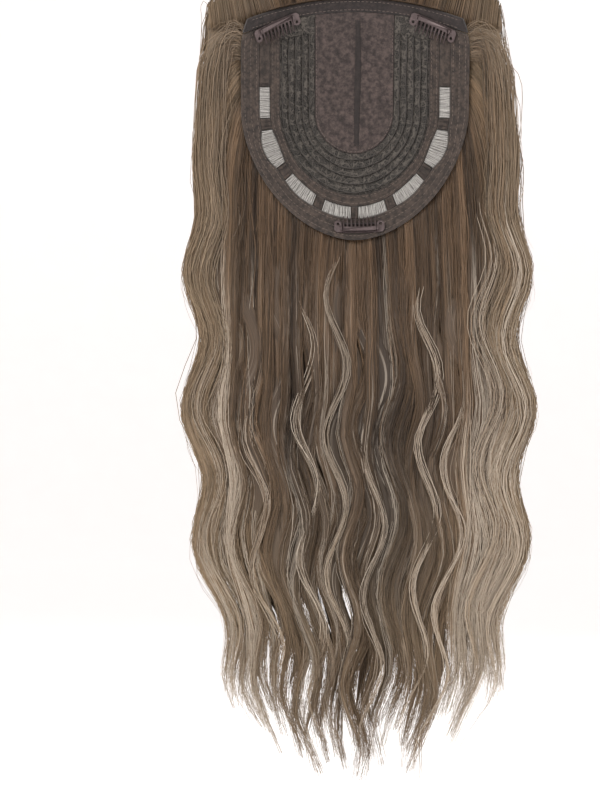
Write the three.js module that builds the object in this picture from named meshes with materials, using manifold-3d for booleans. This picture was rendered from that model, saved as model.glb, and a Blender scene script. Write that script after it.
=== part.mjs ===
// Hair topper held up by its front edge and seen from the inside of its base.
// Millimetres, +Z up, +X to the viewer's right, -Y towards the viewer and the wearer's head.
// The origin is the middle of the front edge's top, where the topper is held.

import * as THREE from "three";
import Module from "manifold-3d";
import { mergeVertices } from "three/addons/utils/BufferGeometryUtils.js";

const wasm = await Module();
wasm.setup();

// The base's outline
const baseHalfWidth = 72;
const baseLength = 153;
const sideLength = 70;
const endSharpness = 1.1;
const frontSag = 17;
const cornerPinch = 4.5;
const cornerDrop = 34;

// The base's dome, bent to the head across and along, and how far its crest lies below the front edge
const headRadiusAcross = 100;
const headRadiusAlong = 130;
const crestDrop = 77;

// Widths of the base's bands and its panel
const frontBindingWidth = 7.3;
const rimWidth = 11;
const windowWidth = 6.5;
const innerBindingWidth = 6;
const panelHalfWidth = 25.5;
const panelLength = 96.4;
const trackWidth = 3.4;
const trackCount = 5;
const trackSetback = 11;
const seamHalfWidth = 1.9;
const seamX = 2;
const seamInset = 5;

// Wall thicknesses of the base
const frontBindingThickness = 2.2;
const rimThickness = 1.8;
const innerBindingThickness = 1.4;
const bridgeThickness = 1;
const stretchThickness = 0.6;
const laceThickness = 1;
const trackThickness = 0.9;
const panelThickness = 1.2;
const seamThickness = 0.7;

// Gaps between pieces that are sewn edge to edge, and between layers
const sewnGap = 0.3;
const clipGap = 0.45;
const backingGap = 0.6;
const lockClearance = 1.4;
const layerGap = 7;
const hairGap = 3;

// Snap comb clips
const clipLength = 32;
const clipWidth = 12;
const clipPlateThickness = 0.9;
const clipBarWidth = 3.2;
const clipCorner = 1.5;
const eyeletRadius = 2.5;
const eyeletHoleRadius = 1;
const clipLugThickness = 1;
const clipLugWidth = 2.4;
const clipLugMargin = 0.4;
const combThickness = 0.8;
const combRise = 1.3;
const combInset = 0.2;
const combBarWidth = 2.8;
const combTeeth = 9;
const toothWidth = 1.15;
const toothDip = 1.2;
const toothInset = 0.5;
const gripRadius = 0.65;
const gripOffset = 0.5;
const backClipX = 3;
const backClipInset = 9;
const frontClipX = 50;
const frontClipDrop = 11.3;

// Hair
const hairLength = 540;
const hairArch = 38;
const hairFall = hairLength - hairArch;
const hairHalfWidth = 110;
const archHalfWidth = 98;
const waveLength = 89;
const waveCrest = 260;
const waveAmplitude = 6.5;
const waveDepth = 2.2;
const waveStart = 90;
const rimHairThickness = 9;
const rimRootThickness = 5;
const rimHairStandoff = 4;
const rimHairReach = 75;
const rimRootOverlap = 6;
const rimRootShare = 0.93;
const rimBackingThickness = 3;
const rimBackingWidth = 15;
const crownInner = 18;
const crownOuter = 41;
const crownLipDepth = 4;
const crownRidge = 2.4;
const crownTopShare = 0.62;
const crownRounding = 0.32;
const crownRoomFrom = 0.5;
const crownRoomTo = 0.72;
const crownClearance = 0.85;
const crownLockStart = 205;
const coverEnd = 250;
const coverThinning = 3;
const lockSink = 2;
const lockGap = 0.8;
const tipTaper = 120;
const tipWidth = 0.12;

// Spread of the hanging hair: drop as a share of hairFall, left and right as shares of hairHalfWidth
const spread = [
  { drop: 0.0, left: 0.88, right: 0.87 },
  { drop: 0.06, left: 0.91, right: 0.91 },
  { drop: 0.14, left: 0.93, right: 0.94 },
  { drop: 0.32, left: 0.94, right: 0.97 },
  { drop: 0.53, left: 0.95, right: 1.0 },
  { drop: 0.66, left: 0.91, right: 0.98 },
  { drop: 0.75, left: 0.85, right: 0.93 },
  { drop: 0.82, left: 0.76, right: 0.86 },
  { drop: 0.91, left: 0.68, right: 0.77 },
  { drop: 1.0, left: 0.56, right: 0.62 },
];

// Windows on one side of the base: from and to are shares of the way round the rim, swell is a share
// of windowWidth that a window's two long edges bow out by
const windows = [
  { from: 0.142, to: 0.219, swell: 0.0 },
  { from: 0.24, to: 0.314, swell: 0.42 },
  { from: 0.338, to: 0.408, swell: 0.12 },
  { from: 0.426, to: 0.492, swell: 0.0 },
];

// Locks of the rim hair from the left corner to the middle of the back: root is the share of the way
// round the rim, column the share of the spread, fall the share of hairFall, each at the outer side
const rimLocks = [
  { root: 0.02, column: 1.0, fall: 0.9 },
  { root: 0.13, column: 0.86, fall: 0.95 },
  { root: 0.22, column: 0.72, fall: 0.91 },
  { root: 0.31, column: 0.56, fall: 0.985 },
  { root: 0.38, column: 0.39, fall: 0.95 },
  { root: 0.44, column: 0.21, fall: 1.0 },
];

// Locks of the crown hair from left to right: column is the share of the spread at the outer or left
// side of the lock, fall the share of hairFall
const crownLocks = [
  { column: -1.0, fall: 0.93 },
  { column: -0.79, fall: 0.97 },
  { column: -0.6, fall: 0.94 },
  { column: -0.4, fall: 1.0 },
  { column: -0.2, fall: 0.97 },
  { column: 0.0, fall: 0.99 },
  { column: 0.2, fall: 0.95 },
  { column: 0.4, fall: 1.0 },
  { column: 0.6, fall: 0.95 },
  { column: 0.79, fall: 0.91 },
];

// Depth of the crown hair's outer side: drop as a share of hairFall, depth as a share of crownOuter
const crownDepth = [
  { drop: 0.0, depth: 0.92 },
  { drop: 0.1, depth: 1.03 },
  { drop: 0.2, depth: 1.04 },
  { drop: 0.32, depth: 0.96 },
  { drop: 0.55, depth: 0.86 },
  { drop: 0.8, depth: 0.78 },
  { drop: 1.0, depth: 0.68 },
];

// Rows of the crown hair's cover: shares of hairArch above the front edge, heights just above it, and
// shares of coverEnd below it
const archRows = [0.995, 0.95, 0.84, 0.66, 0.42, 0.18];
const ledgeRows = [0.9, 0.5];
const hangRows = [0.032, 0.096, 0.176, 0.26, 0.344, 0.428, 0.52, 0.616, 0.712, 0.808, 0.904, 1];

const capDepth = baseHalfWidth ** 2 / (2 * headRadiusAcross);
const backLength = baseLength - sideLength;
const bandSpan = baseHalfWidth - panelHalfWidth;
const windowInset = rimWidth + sewnGap;
const innerBindingInset = windowInset + windowWidth + sewnGap;
const laceInset = innerBindingInset + innerBindingWidth + sewnGap;

const clothColour = 0x4e4341;
const laceColour = 0x423c3a;
const panelColour = 0x514644;
const stretchColour = 0xb4b1ab;
const clipColour = 0x6e6464;
const gripColour = 0x3a3434;
const rimHairColour = 0x66533f;
const crownHairColour = 0x7b6855;

const { lerp, clamp, smoothstep } = THREE.MathUtils;

// A value read from a table whose rows are in order of one column
function readTable(table, key, value, column) {
  let row = 1;
  while (row < table.length - 1 && table[row][key] < value) row += 1;
  const low = table[row - 1];
  const high = table[row];
  const share = clamp((value - low[key]) / (high[key] - low[key]), 0, 1);
  return lerp(low[column], high[column], share);
}

// Height of the dome's middle surface above the plane of the side rims
function capHeight(x, z) {
  const along = z + crestDrop;
  return capDepth - (x * x) / (2 * headRadiusAcross) - (along * along) / (2 * headRadiusAlong);
}

// Unit normal of the dome that points to the wearer's head
function inward(x, z) {
  const along = z + crestDrop;
  return new THREE.Vector3(-x / headRadiusAcross, -1, -along / headRadiusAlong).normalize();
}

// A point of the dome, moved by offset towards the head
function onCap(x, z, offset) {
  return new THREE.Vector3(x, capHeight(x, z), z).addScaledVector(inward(x, z), offset);
}

// Height of the front edge, which drops from its middle to its corners
function frontEdge(x) {
  const across = Math.min(Math.abs(x) / baseHalfWidth, 1);
  return -frontSag * across * across;
}

// How much the outline narrows near the front corners
function pinch(z) {
  const near = clamp((z + cornerDrop) / (cornerDrop - frontSag), 0, 1.3);
  return cornerPinch * near * near;
}

// Half the outline's width at a height; below the straight sides it narrows to the back end
function outlineHalfWidth(z) {
  if (z > -sideLength) return baseHalfWidth - pinch(z);
  const down = Math.min((-z - sideLength) / backLength, 1);
  const power = 2 / endSharpness;
  return baseHalfWidth * (1 - down ** power) ** (1 / power);
}

// How far out a point lies: 1 on the outline of the back end, less inside it
function outlineRatio(x, z) {
  const power = 2 / endSharpness;
  const across = Math.abs(x / baseHalfWidth) ** power;
  const down = Math.abs((z + sideLength) / backLength) ** power;
  return (across + down) ** (1 / power);
}

// A point of the U-shaped curve that runs at an inset from the outline, from the left front end
// (share 0) round the back to the right front end (share 1)
const sideShare = 0.2;
function uPoint(inset, share, setback = 0) {
  const reach = (bandSpan - inset) / bandSpan;
  const half = baseHalfWidth - inset;
  const depth = lerp(panelLength, baseLength, reach) - sideLength;
  const mirrored = share > 0.5;
  const way = mirrored ? 1 - share : share;
  let x = half;
  let z;
  if (way < sideShare) {
    const top = frontEdge(half) - frontBindingWidth - sewnGap - setback;
    z = lerp(top, -sideLength, way / sideShare);
    x = half - pinch(z) * reach ** 3;
  } else {
    const angle = (Math.PI * (way - sideShare)) / (1 - 2 * sideShare);
    const sharpness = lerp(1, endSharpness, reach);
    x = half * Math.cos(angle) ** sharpness;
    z = -sideLength - depth * Math.sin(angle) ** sharpness;
  }
  return { x: mirrored ? x : -x, z };
}

// A closed geometry from vertices and triangles, turned so that its faces point out
function closedGeometry(points, triangles) {
  let volume = 0;
  for (const [a, b, c] of triangles) {
    volume += points[a].dot(new THREE.Vector3().crossVectors(points[b], points[c]));
  }
  const turned = volume < 0 ? triangles.map(([a, b, c]) => [a, c, b]) : triangles;
  const geometry = new THREE.BufferGeometry();
  geometry.setAttribute("position", new THREE.Float32BufferAttribute(points.flatMap((p) => p.toArray()), 3));
  geometry.setIndex(turned.flat());
  return geometry;
}

// A slab with a grid of rows and columns on its two sides; place gives the point of a row, a column
// and a side
function slab(rows, columns, place) {
  const points = [];
  const triangles = [];
  const id = (i, j, side) => (i * (columns + 1) + j) * 2 + side;
  const quad = (a, b, c, d) => triangles.push([a, b, c], [a, c, d]);
  for (let i = 0; i <= rows; i += 1) {
    for (let j = 0; j <= columns; j += 1) {
      points.push(place(i, j, 0), place(i, j, 1));
    }
  }
  for (let i = 0; i < rows; i += 1) {
    for (let j = 0; j < columns; j += 1) {
      quad(id(i, j, 1), id(i, j + 1, 1), id(i + 1, j + 1, 1), id(i + 1, j, 1));
      quad(id(i, j, 0), id(i + 1, j, 0), id(i + 1, j + 1, 0), id(i, j + 1, 0));
    }
    quad(id(i, 0, 0), id(i, 0, 1), id(i + 1, 0, 1), id(i + 1, 0, 0));
    quad(id(i, columns, 0), id(i + 1, columns, 0), id(i + 1, columns, 1), id(i, columns, 1));
  }
  for (let j = 0; j < columns; j += 1) {
    quad(id(0, j, 0), id(0, j + 1, 0), id(0, j + 1, 1), id(0, j, 1));
    quad(id(rows, j, 0), id(rows, j, 1), id(rows, j + 1, 1), id(rows, j + 1, 0));
  }
  return closedGeometry(points, triangles);
}

// A closed body through a list of rings with equal numbers of points
function loft(rings) {
  const sides = rings[0].length;
  const points = rings.flat();
  const triangles = [];
  for (let i = 0; i < rings.length - 1; i += 1) {
    for (let j = 0; j < sides; j += 1) {
      const a = i * sides + j;
      const b = i * sides + ((j + 1) % sides);
      triangles.push([a, b, b + sides], [a, b + sides, a + sides]);
    }
  }
  const last = (rings.length - 1) * sides;
  for (let j = 1; j < sides - 1; j += 1) {
    triangles.push([0, j + 1, j], [last, last + j, last + j + 1]);
  }
  return closedGeometry(points, triangles);
}

// A solid for cutting and joining, and back again
function toSolid(geometry) {
  const bare = geometry.clone();
  bare.deleteAttribute("normal");
  bare.deleteAttribute("uv");
  const merged = mergeVertices(bare, 1e-4);
  return new wasm.Manifold(new wasm.Mesh({
    numProp: 3,
    vertProperties: new Float32Array(merged.attributes.position.array),
    triVerts: new Uint32Array(merged.index.array),
  }));
}

function toGeometry(solid) {
  const mesh = solid.getMesh();
  const geometry = new THREE.BufferGeometry();
  geometry.setAttribute("position", new THREE.Float32BufferAttribute(mesh.vertProperties, 3));
  geometry.setIndex(Array.from(mesh.triVerts));
  return geometry;
}

function fuse(geometries) {
  return toGeometry(geometries.map(toSolid).reduce((whole, piece) => whole.add(piece)));
}

const topper = new THREE.Group();

function addPiece(name, geometry, colour, roughness, metalness = 0) {
  const material = new THREE.MeshStandardMaterial({ color: colour, roughness, metalness });
  const mesh = new THREE.Mesh(geometry, material);
  mesh.name = name;
  topper.add(mesh);
  return mesh;
}

// A strip of the base between two U curves; the insets may change along the way
function uStrip({ outer, inner, near, far, rows, columns = 1, from = 0, to = 1, setback = 0 }) {
  return slab(rows, columns, (i, j, side) => {
    const share = lerp(from, to, i / rows);
    const inset = lerp(outer(share), inner(share), j / columns);
    const { x, z } = uPoint(inset, share, setback);
    return onCap(x, z, side ? near : far);
  });
}

const steady = (inset) => () => inset;

// How far the long edges of a window bow out at a share of the way round
function windowSwell(share) {
  const way = share > 0.5 ? 1 - share : share;
  const gap = windows.find((row) => way > row.from && way < row.to);
  if (!gap) return 0;
  return windowWidth * gap.swell * Math.sin((Math.PI * (way - gap.from)) / (gap.to - gap.from));
}

// All windows round the rim in order, and the bridges that part them
function windowSpans() {
  const mirrored = windows.map(({ from, to }) => ({ from: 1 - to, to: 1 - from })).reverse();
  return [...windows.map(({ from, to }) => ({ from, to })), ...mirrored];
}

function bridgeSpans(spans) {
  const starts = [0, ...spans.map((span) => span.to)];
  const ends = [...spans.map((span) => span.from), 1];
  return starts.map((from, index) => ({ from, to: ends[index] }));
}

function buildBands() {
  const rim = rimThickness / 2;
  addPiece("rim_binding", uStrip({
    outer: steady(0),
    inner: (share) => rimWidth - windowSwell(share),
    near: rim,
    far: -rim,
    rows: 50,
  }), clothColour, 0.9);
  const inner = innerBindingThickness / 2;
  addPiece("inner_binding", uStrip({
    outer: (share) => innerBindingInset + windowSwell(share) / 2,
    inner: steady(innerBindingInset + innerBindingWidth),
    near: inner,
    far: -inner,
    rows: 50,
  }), clothColour, 0.9);
}

function buildWindowRing() {
  const outer = (share) => windowInset - windowSwell(share);
  const inner = (share) => windowInset + windowWidth + windowSwell(share) / 2;
  const ringLength = 2 * sideLength + Math.PI * (baseHalfWidth - windowInset);
  const gapShare = sewnGap / ringLength;
  const spans = windowSpans();
  bridgeSpans(spans).forEach(({ from, to }, index) => {
    const half = bridgeThickness / 2;
    const rows = to - from > 0.1 ? 6 : 2;
    addPiece(`bridge_${index + 1}`, uStrip({
      outer, inner, near: half, far: -half, rows, from, to,
    }), clothColour, 0.9);
  });
  spans.forEach(({ from, to }, index) => {
    const half = stretchThickness / 2;
    addPiece(`stretch_mesh_${index + 1}`, uStrip({
      outer, inner, near: half, far: -half, rows: 8, from: from + gapShare, to: to - gapShare,
    }), stretchColour, 0.8);
  });
}

function buildLace() {
  const half = laceThickness / 2;
  addPiece("lace_net", uStrip({
    outer: steady(laceInset),
    inner: steady(bandSpan),
    near: half,
    far: -half,
    rows: 25,
    columns: 3,
  }), laceColour, 0.95);
  const pitch = (bandSpan - laceInset) / trackCount;
  const far = half + sewnGap;
  for (let track = 0; track < trackCount; track += 1) {
    const start = laceInset + pitch * (track + 0.5) - trackWidth / 2;
    addPiece(`weft_track_${track + 1}`, uStrip({
      outer: steady(start),
      inner: steady(start + trackWidth),
      near: far + trackThickness,
      far,
      rows: 20,
      setback: trackSetback,
    }), laceColour, 0.9);
  }
}

function buildPanel() {
  const sideRows = 6;
  const endRows = 5;
  const columns = 6;
  const endAngle = 1.45;
  const half = panelHalfWidth - sewnGap;
  const endLength = panelLength - sideLength - sewnGap;
  const thick = panelThickness / 2;
  addPiece("top_panel", slab(sideRows + endRows, columns, (i, j, side) => {
    const across = (2 * j) / columns - 1;
    let x = across * half;
    let z;
    if (i <= sideRows) {
      const top = frontEdge(x) - frontBindingWidth - sewnGap;
      z = lerp(top, -sideLength, i / sideRows);
    } else {
      const angle = (endAngle * (i - sideRows)) / endRows;
      x *= Math.cos(angle);
      z = -sideLength - endLength * Math.sin(angle);
    }
    return onCap(x, z, side ? thick : -thick);
  }), panelColour, 0.85);
  const seamTop = -frontBindingWidth - seamInset;
  const seamEnd = -panelLength + seamInset;
  const seamRows = 10;
  addPiece("panel_seam", slab(seamRows, 1, (i, j, side) => {
    const x = seamX + (j ? seamHalfWidth : -seamHalfWidth);
    const z = lerp(seamTop, seamEnd, i / seamRows);
    return onCap(x, z, thick + sewnGap + (side ? seamThickness : 0));
  }), laceColour, 0.9);
}

function buildFrontBinding() {
  const columns = 24;
  const thick = frontBindingThickness / 2;
  addPiece("front_binding", slab(columns, 1, (i, j, side) => {
    const across = (2 * i) / columns - 1;
    const drop = j ? frontBindingWidth : 0;
    const end = baseHalfWidth - pinch(-frontSag - drop);
    const x = across * end;
    return onCap(x, frontEdge(x) - drop, side ? thick : -thick);
  }), clothColour, 0.9);
}

// A clip's own axes: a along the clip, b across it towards the base's middle, c away from the base
function clipFrame(x, z, tilt, flipped, carrierThickness) {
  const c = inward(x, z);
  const along = new THREE.Vector3(Math.cos(tilt), 0, Math.sin(tilt)).multiplyScalar(flipped ? -1 : 1);
  const a = along.addScaledVector(c, -along.dot(c)).normalize();
  const b = new THREE.Vector3().crossVectors(c, a);
  const seat = onCap(x, z, carrierThickness / 2 + clipGap);
  return new THREE.Matrix4().makeBasis(a, b, c).setPosition(seat);
}

// Bends a flat clip piece to the dome
function bendClip(geometry) {
  const place = geometry.attributes.position;
  for (let i = 0; i < place.count; i += 1) {
    const along = place.getX(i);
    place.setZ(i, place.getZ(i) + (along * along) / (2 * headRadiusAcross));
  }
  return geometry;
}

const halfClip = clipLength / 2;
const clipEdge = -clipWidth / 2;
const eyeletX = halfClip - eyeletRadius;
const lugX = eyeletX - eyeletRadius;
const combHalf = lugX - sewnGap;
const combStart = clipEdge + combInset;
const combAxis = { b: combStart + combBarWidth / 2, c: clipPlateThickness + combRise + combThickness / 2 };
const combAxisRise = combAxis.c + combHalf ** 2 / (2 * headRadiusAcross);

// The right end of a clip's plate with its sewing eyelet
function plateEnd() {
  const outline = new THREE.Shape();
  outline.moveTo(lugX, clipEdge);
  outline.lineTo(halfClip - clipCorner, clipEdge);
  outline.lineTo(halfClip, clipEdge + clipCorner);
  outline.absarc(eyeletX, 0, eyeletRadius, 0, Math.PI, false);
  outline.lineTo(lugX, clipEdge + clipBarWidth);
  const hole = new THREE.Path();
  hole.absarc(eyeletX, 0, eyeletHoleRadius, 0, 2 * Math.PI, true);
  outline.holes.push(hole);
  return new THREE.ExtrudeGeometry(outline, {
    depth: clipPlateThickness,
    bevelEnabled: false,
    curveSegments: 5,
  });
}

function clipPlate() {
  const rows = 4;
  const bar = slab(rows, 1, (i, j, side) => {
    const b = j ? clipEdge + clipBarWidth : clipEdge;
    return new THREE.Vector3(lerp(-lugX, lugX, i / rows), b, side ? clipPlateThickness : 0);
  });
  const lugHeight = combAxis.c + combThickness / 2 + clipLugMargin;
  const lugs = [-1, 1].map((side) => {
    const lug = new THREE.BoxGeometry(clipLugThickness, clipLugWidth, lugHeight);
    return lug.translate(side * (lugX + clipLugThickness / 2), combAxis.b, lugHeight / 2);
  });
  const middle = toSolid(fuse([bar, ...lugs].map(bendClip)));
  const end = toSolid(bendClip(plateEnd()));
  return toGeometry(middle.add(end).add(end.mirror([1, 0, 0])));
}

function clipComb() {
  const barEnd = combStart + combBarWidth;
  const tip = clipWidth / 2 - toothInset;
  const pitch = (2 * combHalf - toothWidth) / (combTeeth - 1);
  const outline = new THREE.Shape();
  outline.moveTo(-combHalf, combStart);
  [-0.5, 0, 0.5, 1].forEach((share) => outline.lineTo(share * combHalf, combStart));
  for (let tooth = combTeeth - 1; tooth >= 0; tooth -= 1) {
    const left = tooth * pitch - combHalf;
    outline.lineTo(left + toothWidth, barEnd);
    outline.lineTo(left + toothWidth * 0.75, tip);
    outline.lineTo(left + toothWidth * 0.25, tip);
    outline.lineTo(left, barEnd);
  }
  const sheet = new THREE.ExtrudeGeometry(outline, { depth: combThickness, bevelEnabled: false });
  sheet.translate(0, 0, combAxis.c - combThickness / 2);
  const place = sheet.attributes.position;
  for (let i = 0; i < place.count; i += 1) {
    const out = clamp((place.getY(i) - barEnd) / (tip - barEnd), 0, 1);
    place.setZ(i, place.getZ(i) - toothDip * out);
  }
  return bendClip(toGeometry(toSolid(sheet)));
}

function clipGrip() {
  const steps = 6;
  const sides = 6;
  const rings = [];
  for (let i = 0; i <= steps; i += 1) {
    const a = lerp(-combHalf, combHalf, i / steps);
    const ring = [];
    for (let j = 0; j < sides; j += 1) {
      const angle = (2 * Math.PI * j) / sides;
      const b = gripOffset + gripRadius * Math.cos(angle);
      ring.push(new THREE.Vector3(a, b, gripRadius + gripRadius * Math.sin(angle)));
    }
    rings.push(ring);
  }
  return bendClip(loft(rings));
}

function buildClips() {
  const backZ = backClipInset - baseLength;
  const tilt = Math.atan((2 * frontSag * frontClipX) / baseHalfWidth ** 2);
  const frontZ = frontEdge(frontClipX) - frontClipDrop;
  const clips = [
    { name: "back", frame: clipFrame(backClipX, backZ, 0, false, rimThickness) },
    { name: "left", frame: clipFrame(-frontClipX, frontZ, tilt, true, frontBindingThickness) },
    { name: "right", frame: clipFrame(frontClipX, frontZ, -tilt, true, frontBindingThickness) },
  ];
  for (const { name, frame } of clips) {
    addPiece(`clip_${name}_plate`, clipPlate().applyMatrix4(frame), clipColour, 0.45, 0.6);
    addPiece(`clip_${name}_grip`, clipGrip().applyMatrix4(frame), gripColour, 0.8);
    const comb = addPiece(`clip_${name}_comb`, clipComb().applyMatrix4(frame), clipColour, 0.45, 0.6);
    const axis = new THREE.Vector3(1, 0, 0).transformDirection(frame);
    const pivot = new THREE.Vector3(0, combAxis.b, combAxisRise).applyMatrix4(frame);
    comb.userData.hinge = { axis, pivot };
  }
}

// Side edge of the hanging hair at a height, for the left (negative) or right side
function hairEdge(z, side) {
  const drop = clamp(-z / hairFall, 0, 1);
  return side * hairHalfWidth * readTable(spread, "drop", drop, side < 0 ? "left" : "right");
}

// Shift of the waves at a height, for a column from -1, left, to 1, right
function waveAngle(column, z) {
  const turns = (-z - waveCrest) / waveLength;
  return 2 * Math.PI * turns + (Math.PI * (1 - column)) / 2;
}

function waveSize(z) {
  return smoothstep(-z, waveStart, waveStart + waveLength);
}

function columnX(column, z) {
  const swing = waveAmplitude * waveSize(z) * Math.cos(waveAngle(column, z));
  return Math.abs(column) * hairEdge(z, Math.sign(column) || 1) + swing;
}

function waveY(column, z) {
  return waveDepth * waveSize(z) * Math.sin(waveAngle(column, z));
}

// How far a point lies outside the base's outline, and the outline's point next to it
function besideBase(x, z) {
  const half = outlineHalfWidth(z);
  if (z > -sideLength) {
    const edgeX = clamp(x, -half, half);
    return { x: edgeX, z, away: Math.abs(x - edgeX) };
  }
  const down = z + sideLength;
  const scale = 1 / Math.max(outlineRatio(x, z), 1);
  return { x: x * scale, z: -sideLength + down * scale, away: Math.hypot(x, down) * (1 - scale) };
}

// Near side of the rim hair: behind the base inside its outline, easing to a steady depth beside it
function rimHairNear(x, z) {
  const edge = besideBase(x, z);
  const behind = capHeight(edge.x, edge.z) + rimThickness / 2 + lockClearance;
  return lerp(behind, rimHairStandoff, smoothstep(edge.away, 0, rimHairReach));
}

// The side line of a rim lock: its root on the rim, and its x at any height
function rimSideLine({ root, column }) {
  const start = uPoint(2, root);
  const x = (z) => {
    const way = clamp((start.z - z) / rimHairReach, 0, 1);
    return lerp(start.x, columnX(column, z), Math.sin((Math.PI * way) / 2));
  };
  return { start, x };
}

// A six-sided section across a lock
function lockRing(left, right, z, near, thickness) {
  const quarter = (right - left) / 4;
  const middle = near + thickness / 2;
  return [
    new THREE.Vector3(left, middle, z),
    new THREE.Vector3(left + quarter, near, z),
    new THREE.Vector3(right - quarter, near, z),
    new THREE.Vector3(right, middle, z),
    new THREE.Vector3(right - quarter, near + thickness, z),
    new THREE.Vector3(left + quarter, near + thickness, z),
  ];
}

// How much of its width a lock keeps near its tip
function tipShare(z, tipZ) {
  const left = clamp((z - tipZ) / tipTaper, 0, 1);
  return tipWidth + (1 - tipWidth) * Math.sin((Math.PI * left) / 2);
}

// A lock between two side lines that narrows to its tip
function taperedRing(left, right, z, tipZ, near, thickness) {
  const keep = tipShare(z, tipZ);
  const middle = (left + right) / 2;
  const half = ((right - left - lockGap) / 2) * keep;
  return lockRing(middle - half, middle + half, z, near + (thickness * (1 - keep)) / 2, thickness * keep);
}

// One lock of the rim hair, from its root behind the rim to its tip
function rimLock(outer, inner, fall) {
  const rows = 19;
  const side = Math.sign(outer.column);
  const outerLine = rimSideLine(outer);
  const innerLine = rimSideLine(inner);
  const top = outerLine.start.z + rimRootOverlap;
  const tipZ = -fall * hairFall;
  const column = (outer.column + inner.column) / 2;
  const rings = [];
  for (let i = 0; i <= rows; i += 1) {
    const z = lerp(top, tipZ, i / rows);
    const outerX = outerLine.x(Math.min(z, outerLine.start.z));
    const rimX = side * outlineHalfWidth(z) * rimRootShare;
    const central = side * Math.min(side * rimX, side * innerLine.start.x);
    const innerX = z > innerLine.start.z ? central : innerLine.x(z);
    const grown = smoothstep(top - z, 0, rimHairReach);
    const thickness = lerp(rimRootThickness, rimHairThickness, grown);
    const near = Math.max(rimHairNear(outerX, z), rimHairNear(innerX, z)) + waveY(column, z);
    const left = Math.min(outerX, innerX);
    const right = Math.max(outerX, innerX);
    rings.push(taperedRing(left, right, z, tipZ, near, thickness));
  }
  return loft(rings);
}

// The rim hair: a backing behind the rim and the locks that grow from it
function buildRimHair() {
  const far = -(rimThickness / 2 + backingGap);
  const backing = uStrip({
    outer: steady(2),
    inner: steady(rimBackingWidth),
    near: far,
    far: far - rimBackingThickness,
    rows: 25,
  });
  const centre = { root: 0.5, column: 0 };
  const locks = [];
  for (const side of [-1, 1]) {
    rimLocks.forEach((row, index) => {
      const place = ({ root, column }) => ({
        root: side < 0 ? root : 1 - root,
        column: side * column,
      });
      const next = rimLocks[index + 1] ?? centre;
      locks.push(rimLock(place(row), place(next), row.fall));
    });
  }
  addPiece("rim_hair", fuse([backing, ...locks]), rimHairColour, 0.6);
}

// Near side of the crown hair: on the dome, and behind the rim hair near and beside the rim
function crownNear(x, z) {
  const outer = smoothstep(outlineRatio(x, z), crownRoomFrom, crownRoomTo);
  const room = (rimRootThickness + layerGap) * outer;
  const rest = capHeight(x, z) + panelThickness / 2 + crownClearance + room;
  const rimHairFar = rimHairNear(x, z) + rimHairThickness + hairGap;
  return Math.max(rest, crownInner, lerp(crownInner, rimHairFar, outer));
}

function crownFar(column, z) {
  const drop = clamp(-z / hairFall, 0, 1);
  const depth = crownOuter * readTable(crownDepth, "drop", drop, "depth");
  const rounded = 1 - crownRounding * Math.abs(column) ** 4;
  return depth * rounded;
}

// The crown hair's cover: it rises over the front edge, lies on the dome and hangs behind it
function crownCover() {
  const arch = archRows.map((share) => share * hairArch);
  const hang = hangRows.map((share) => -share * coverEnd);
  const rows = [...arch, ...ledgeRows, ...hang];
  const columns = 20;
  return slab(rows.length - 1, columns, (i, j, side) => {
    const height = rows[i];
    const column = (2 * j) / columns - 1;
    const rise = Math.sqrt(1 - clamp(height / hairArch, 0, 1) ** 2);
    const flat = height > 0 ? archHalfWidth * rise * column : columnX(column, height);
    const fade = height > 0 ? 1 - height / hairArch : 1 - smoothstep(-height, 8, sideLength);
    const z = height + frontEdge(flat) * fade;
    const shrink = coverThinning * smoothstep(-height, crownLockStart, coverEnd);
    if (!side) {
      const lobe = j % 2 ? crownRidge : 0;
      const far = crownFar(column, height) * lerp(crownTopShare, 1, rise) - crownRidge + lobe - shrink;
      return new THREE.Vector3(flat, far + waveY(column, height), z);
    }
    if (height > ledgeRows[1]) {
      const lipX = Math.min(Math.abs(flat), frontClipX);
      const rooted = capHeight(lipX, frontEdge(lipX)) - crownLipDepth;
      const lip = lerp(rooted, crownInner, smoothstep(Math.abs(flat), frontClipX, archHalfWidth));
      return new THREE.Vector3(flat, lerp(hairArch / 3, lip, rise), z);
    }
    return new THREE.Vector3(flat, crownNear(flat, z) + shrink + waveY(column, height), z);
  });
}

// One hanging lock of the crown hair below the cover
function crownLock(from, to, fall) {
  const rows = 12;
  const top = -crownLockStart;
  const tipZ = -fall * hairFall;
  const column = (from + to) / 2;
  const rings = [];
  for (let i = 0; i <= rows; i += 1) {
    const z = lerp(top, tipZ, i / rows);
    const sunk = lerp(lockSink, 0, smoothstep(-z, crownLockStart, coverEnd));
    const near = crownInner + waveY(column, z) + sunk;
    const far = crownFar(column, z) + waveY(column, z) - sunk;
    rings.push(taperedRing(columnX(from, z), columnX(to, z), z, tipZ, near, far - near));
  }
  return loft(rings);
}

function buildCrownHair() {
  const locks = crownLocks.map(({ column, fall }, index) => {
    const next = crownLocks[index + 1]?.column ?? 1;
    return crownLock(column, next, fall);
  });
  addPiece("crown_hair", fuse([crownCover(), ...locks]), crownHairColour, 0.6);
}

buildFrontBinding();
buildBands();
buildWindowRing();
buildLace();
buildPanel();
buildClips();
buildRimHair();
buildCrownHair();

export default topper;
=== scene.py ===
# Looks of a hair topper that is held up by its front edge and seen from the inside of its base.
import math

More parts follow.
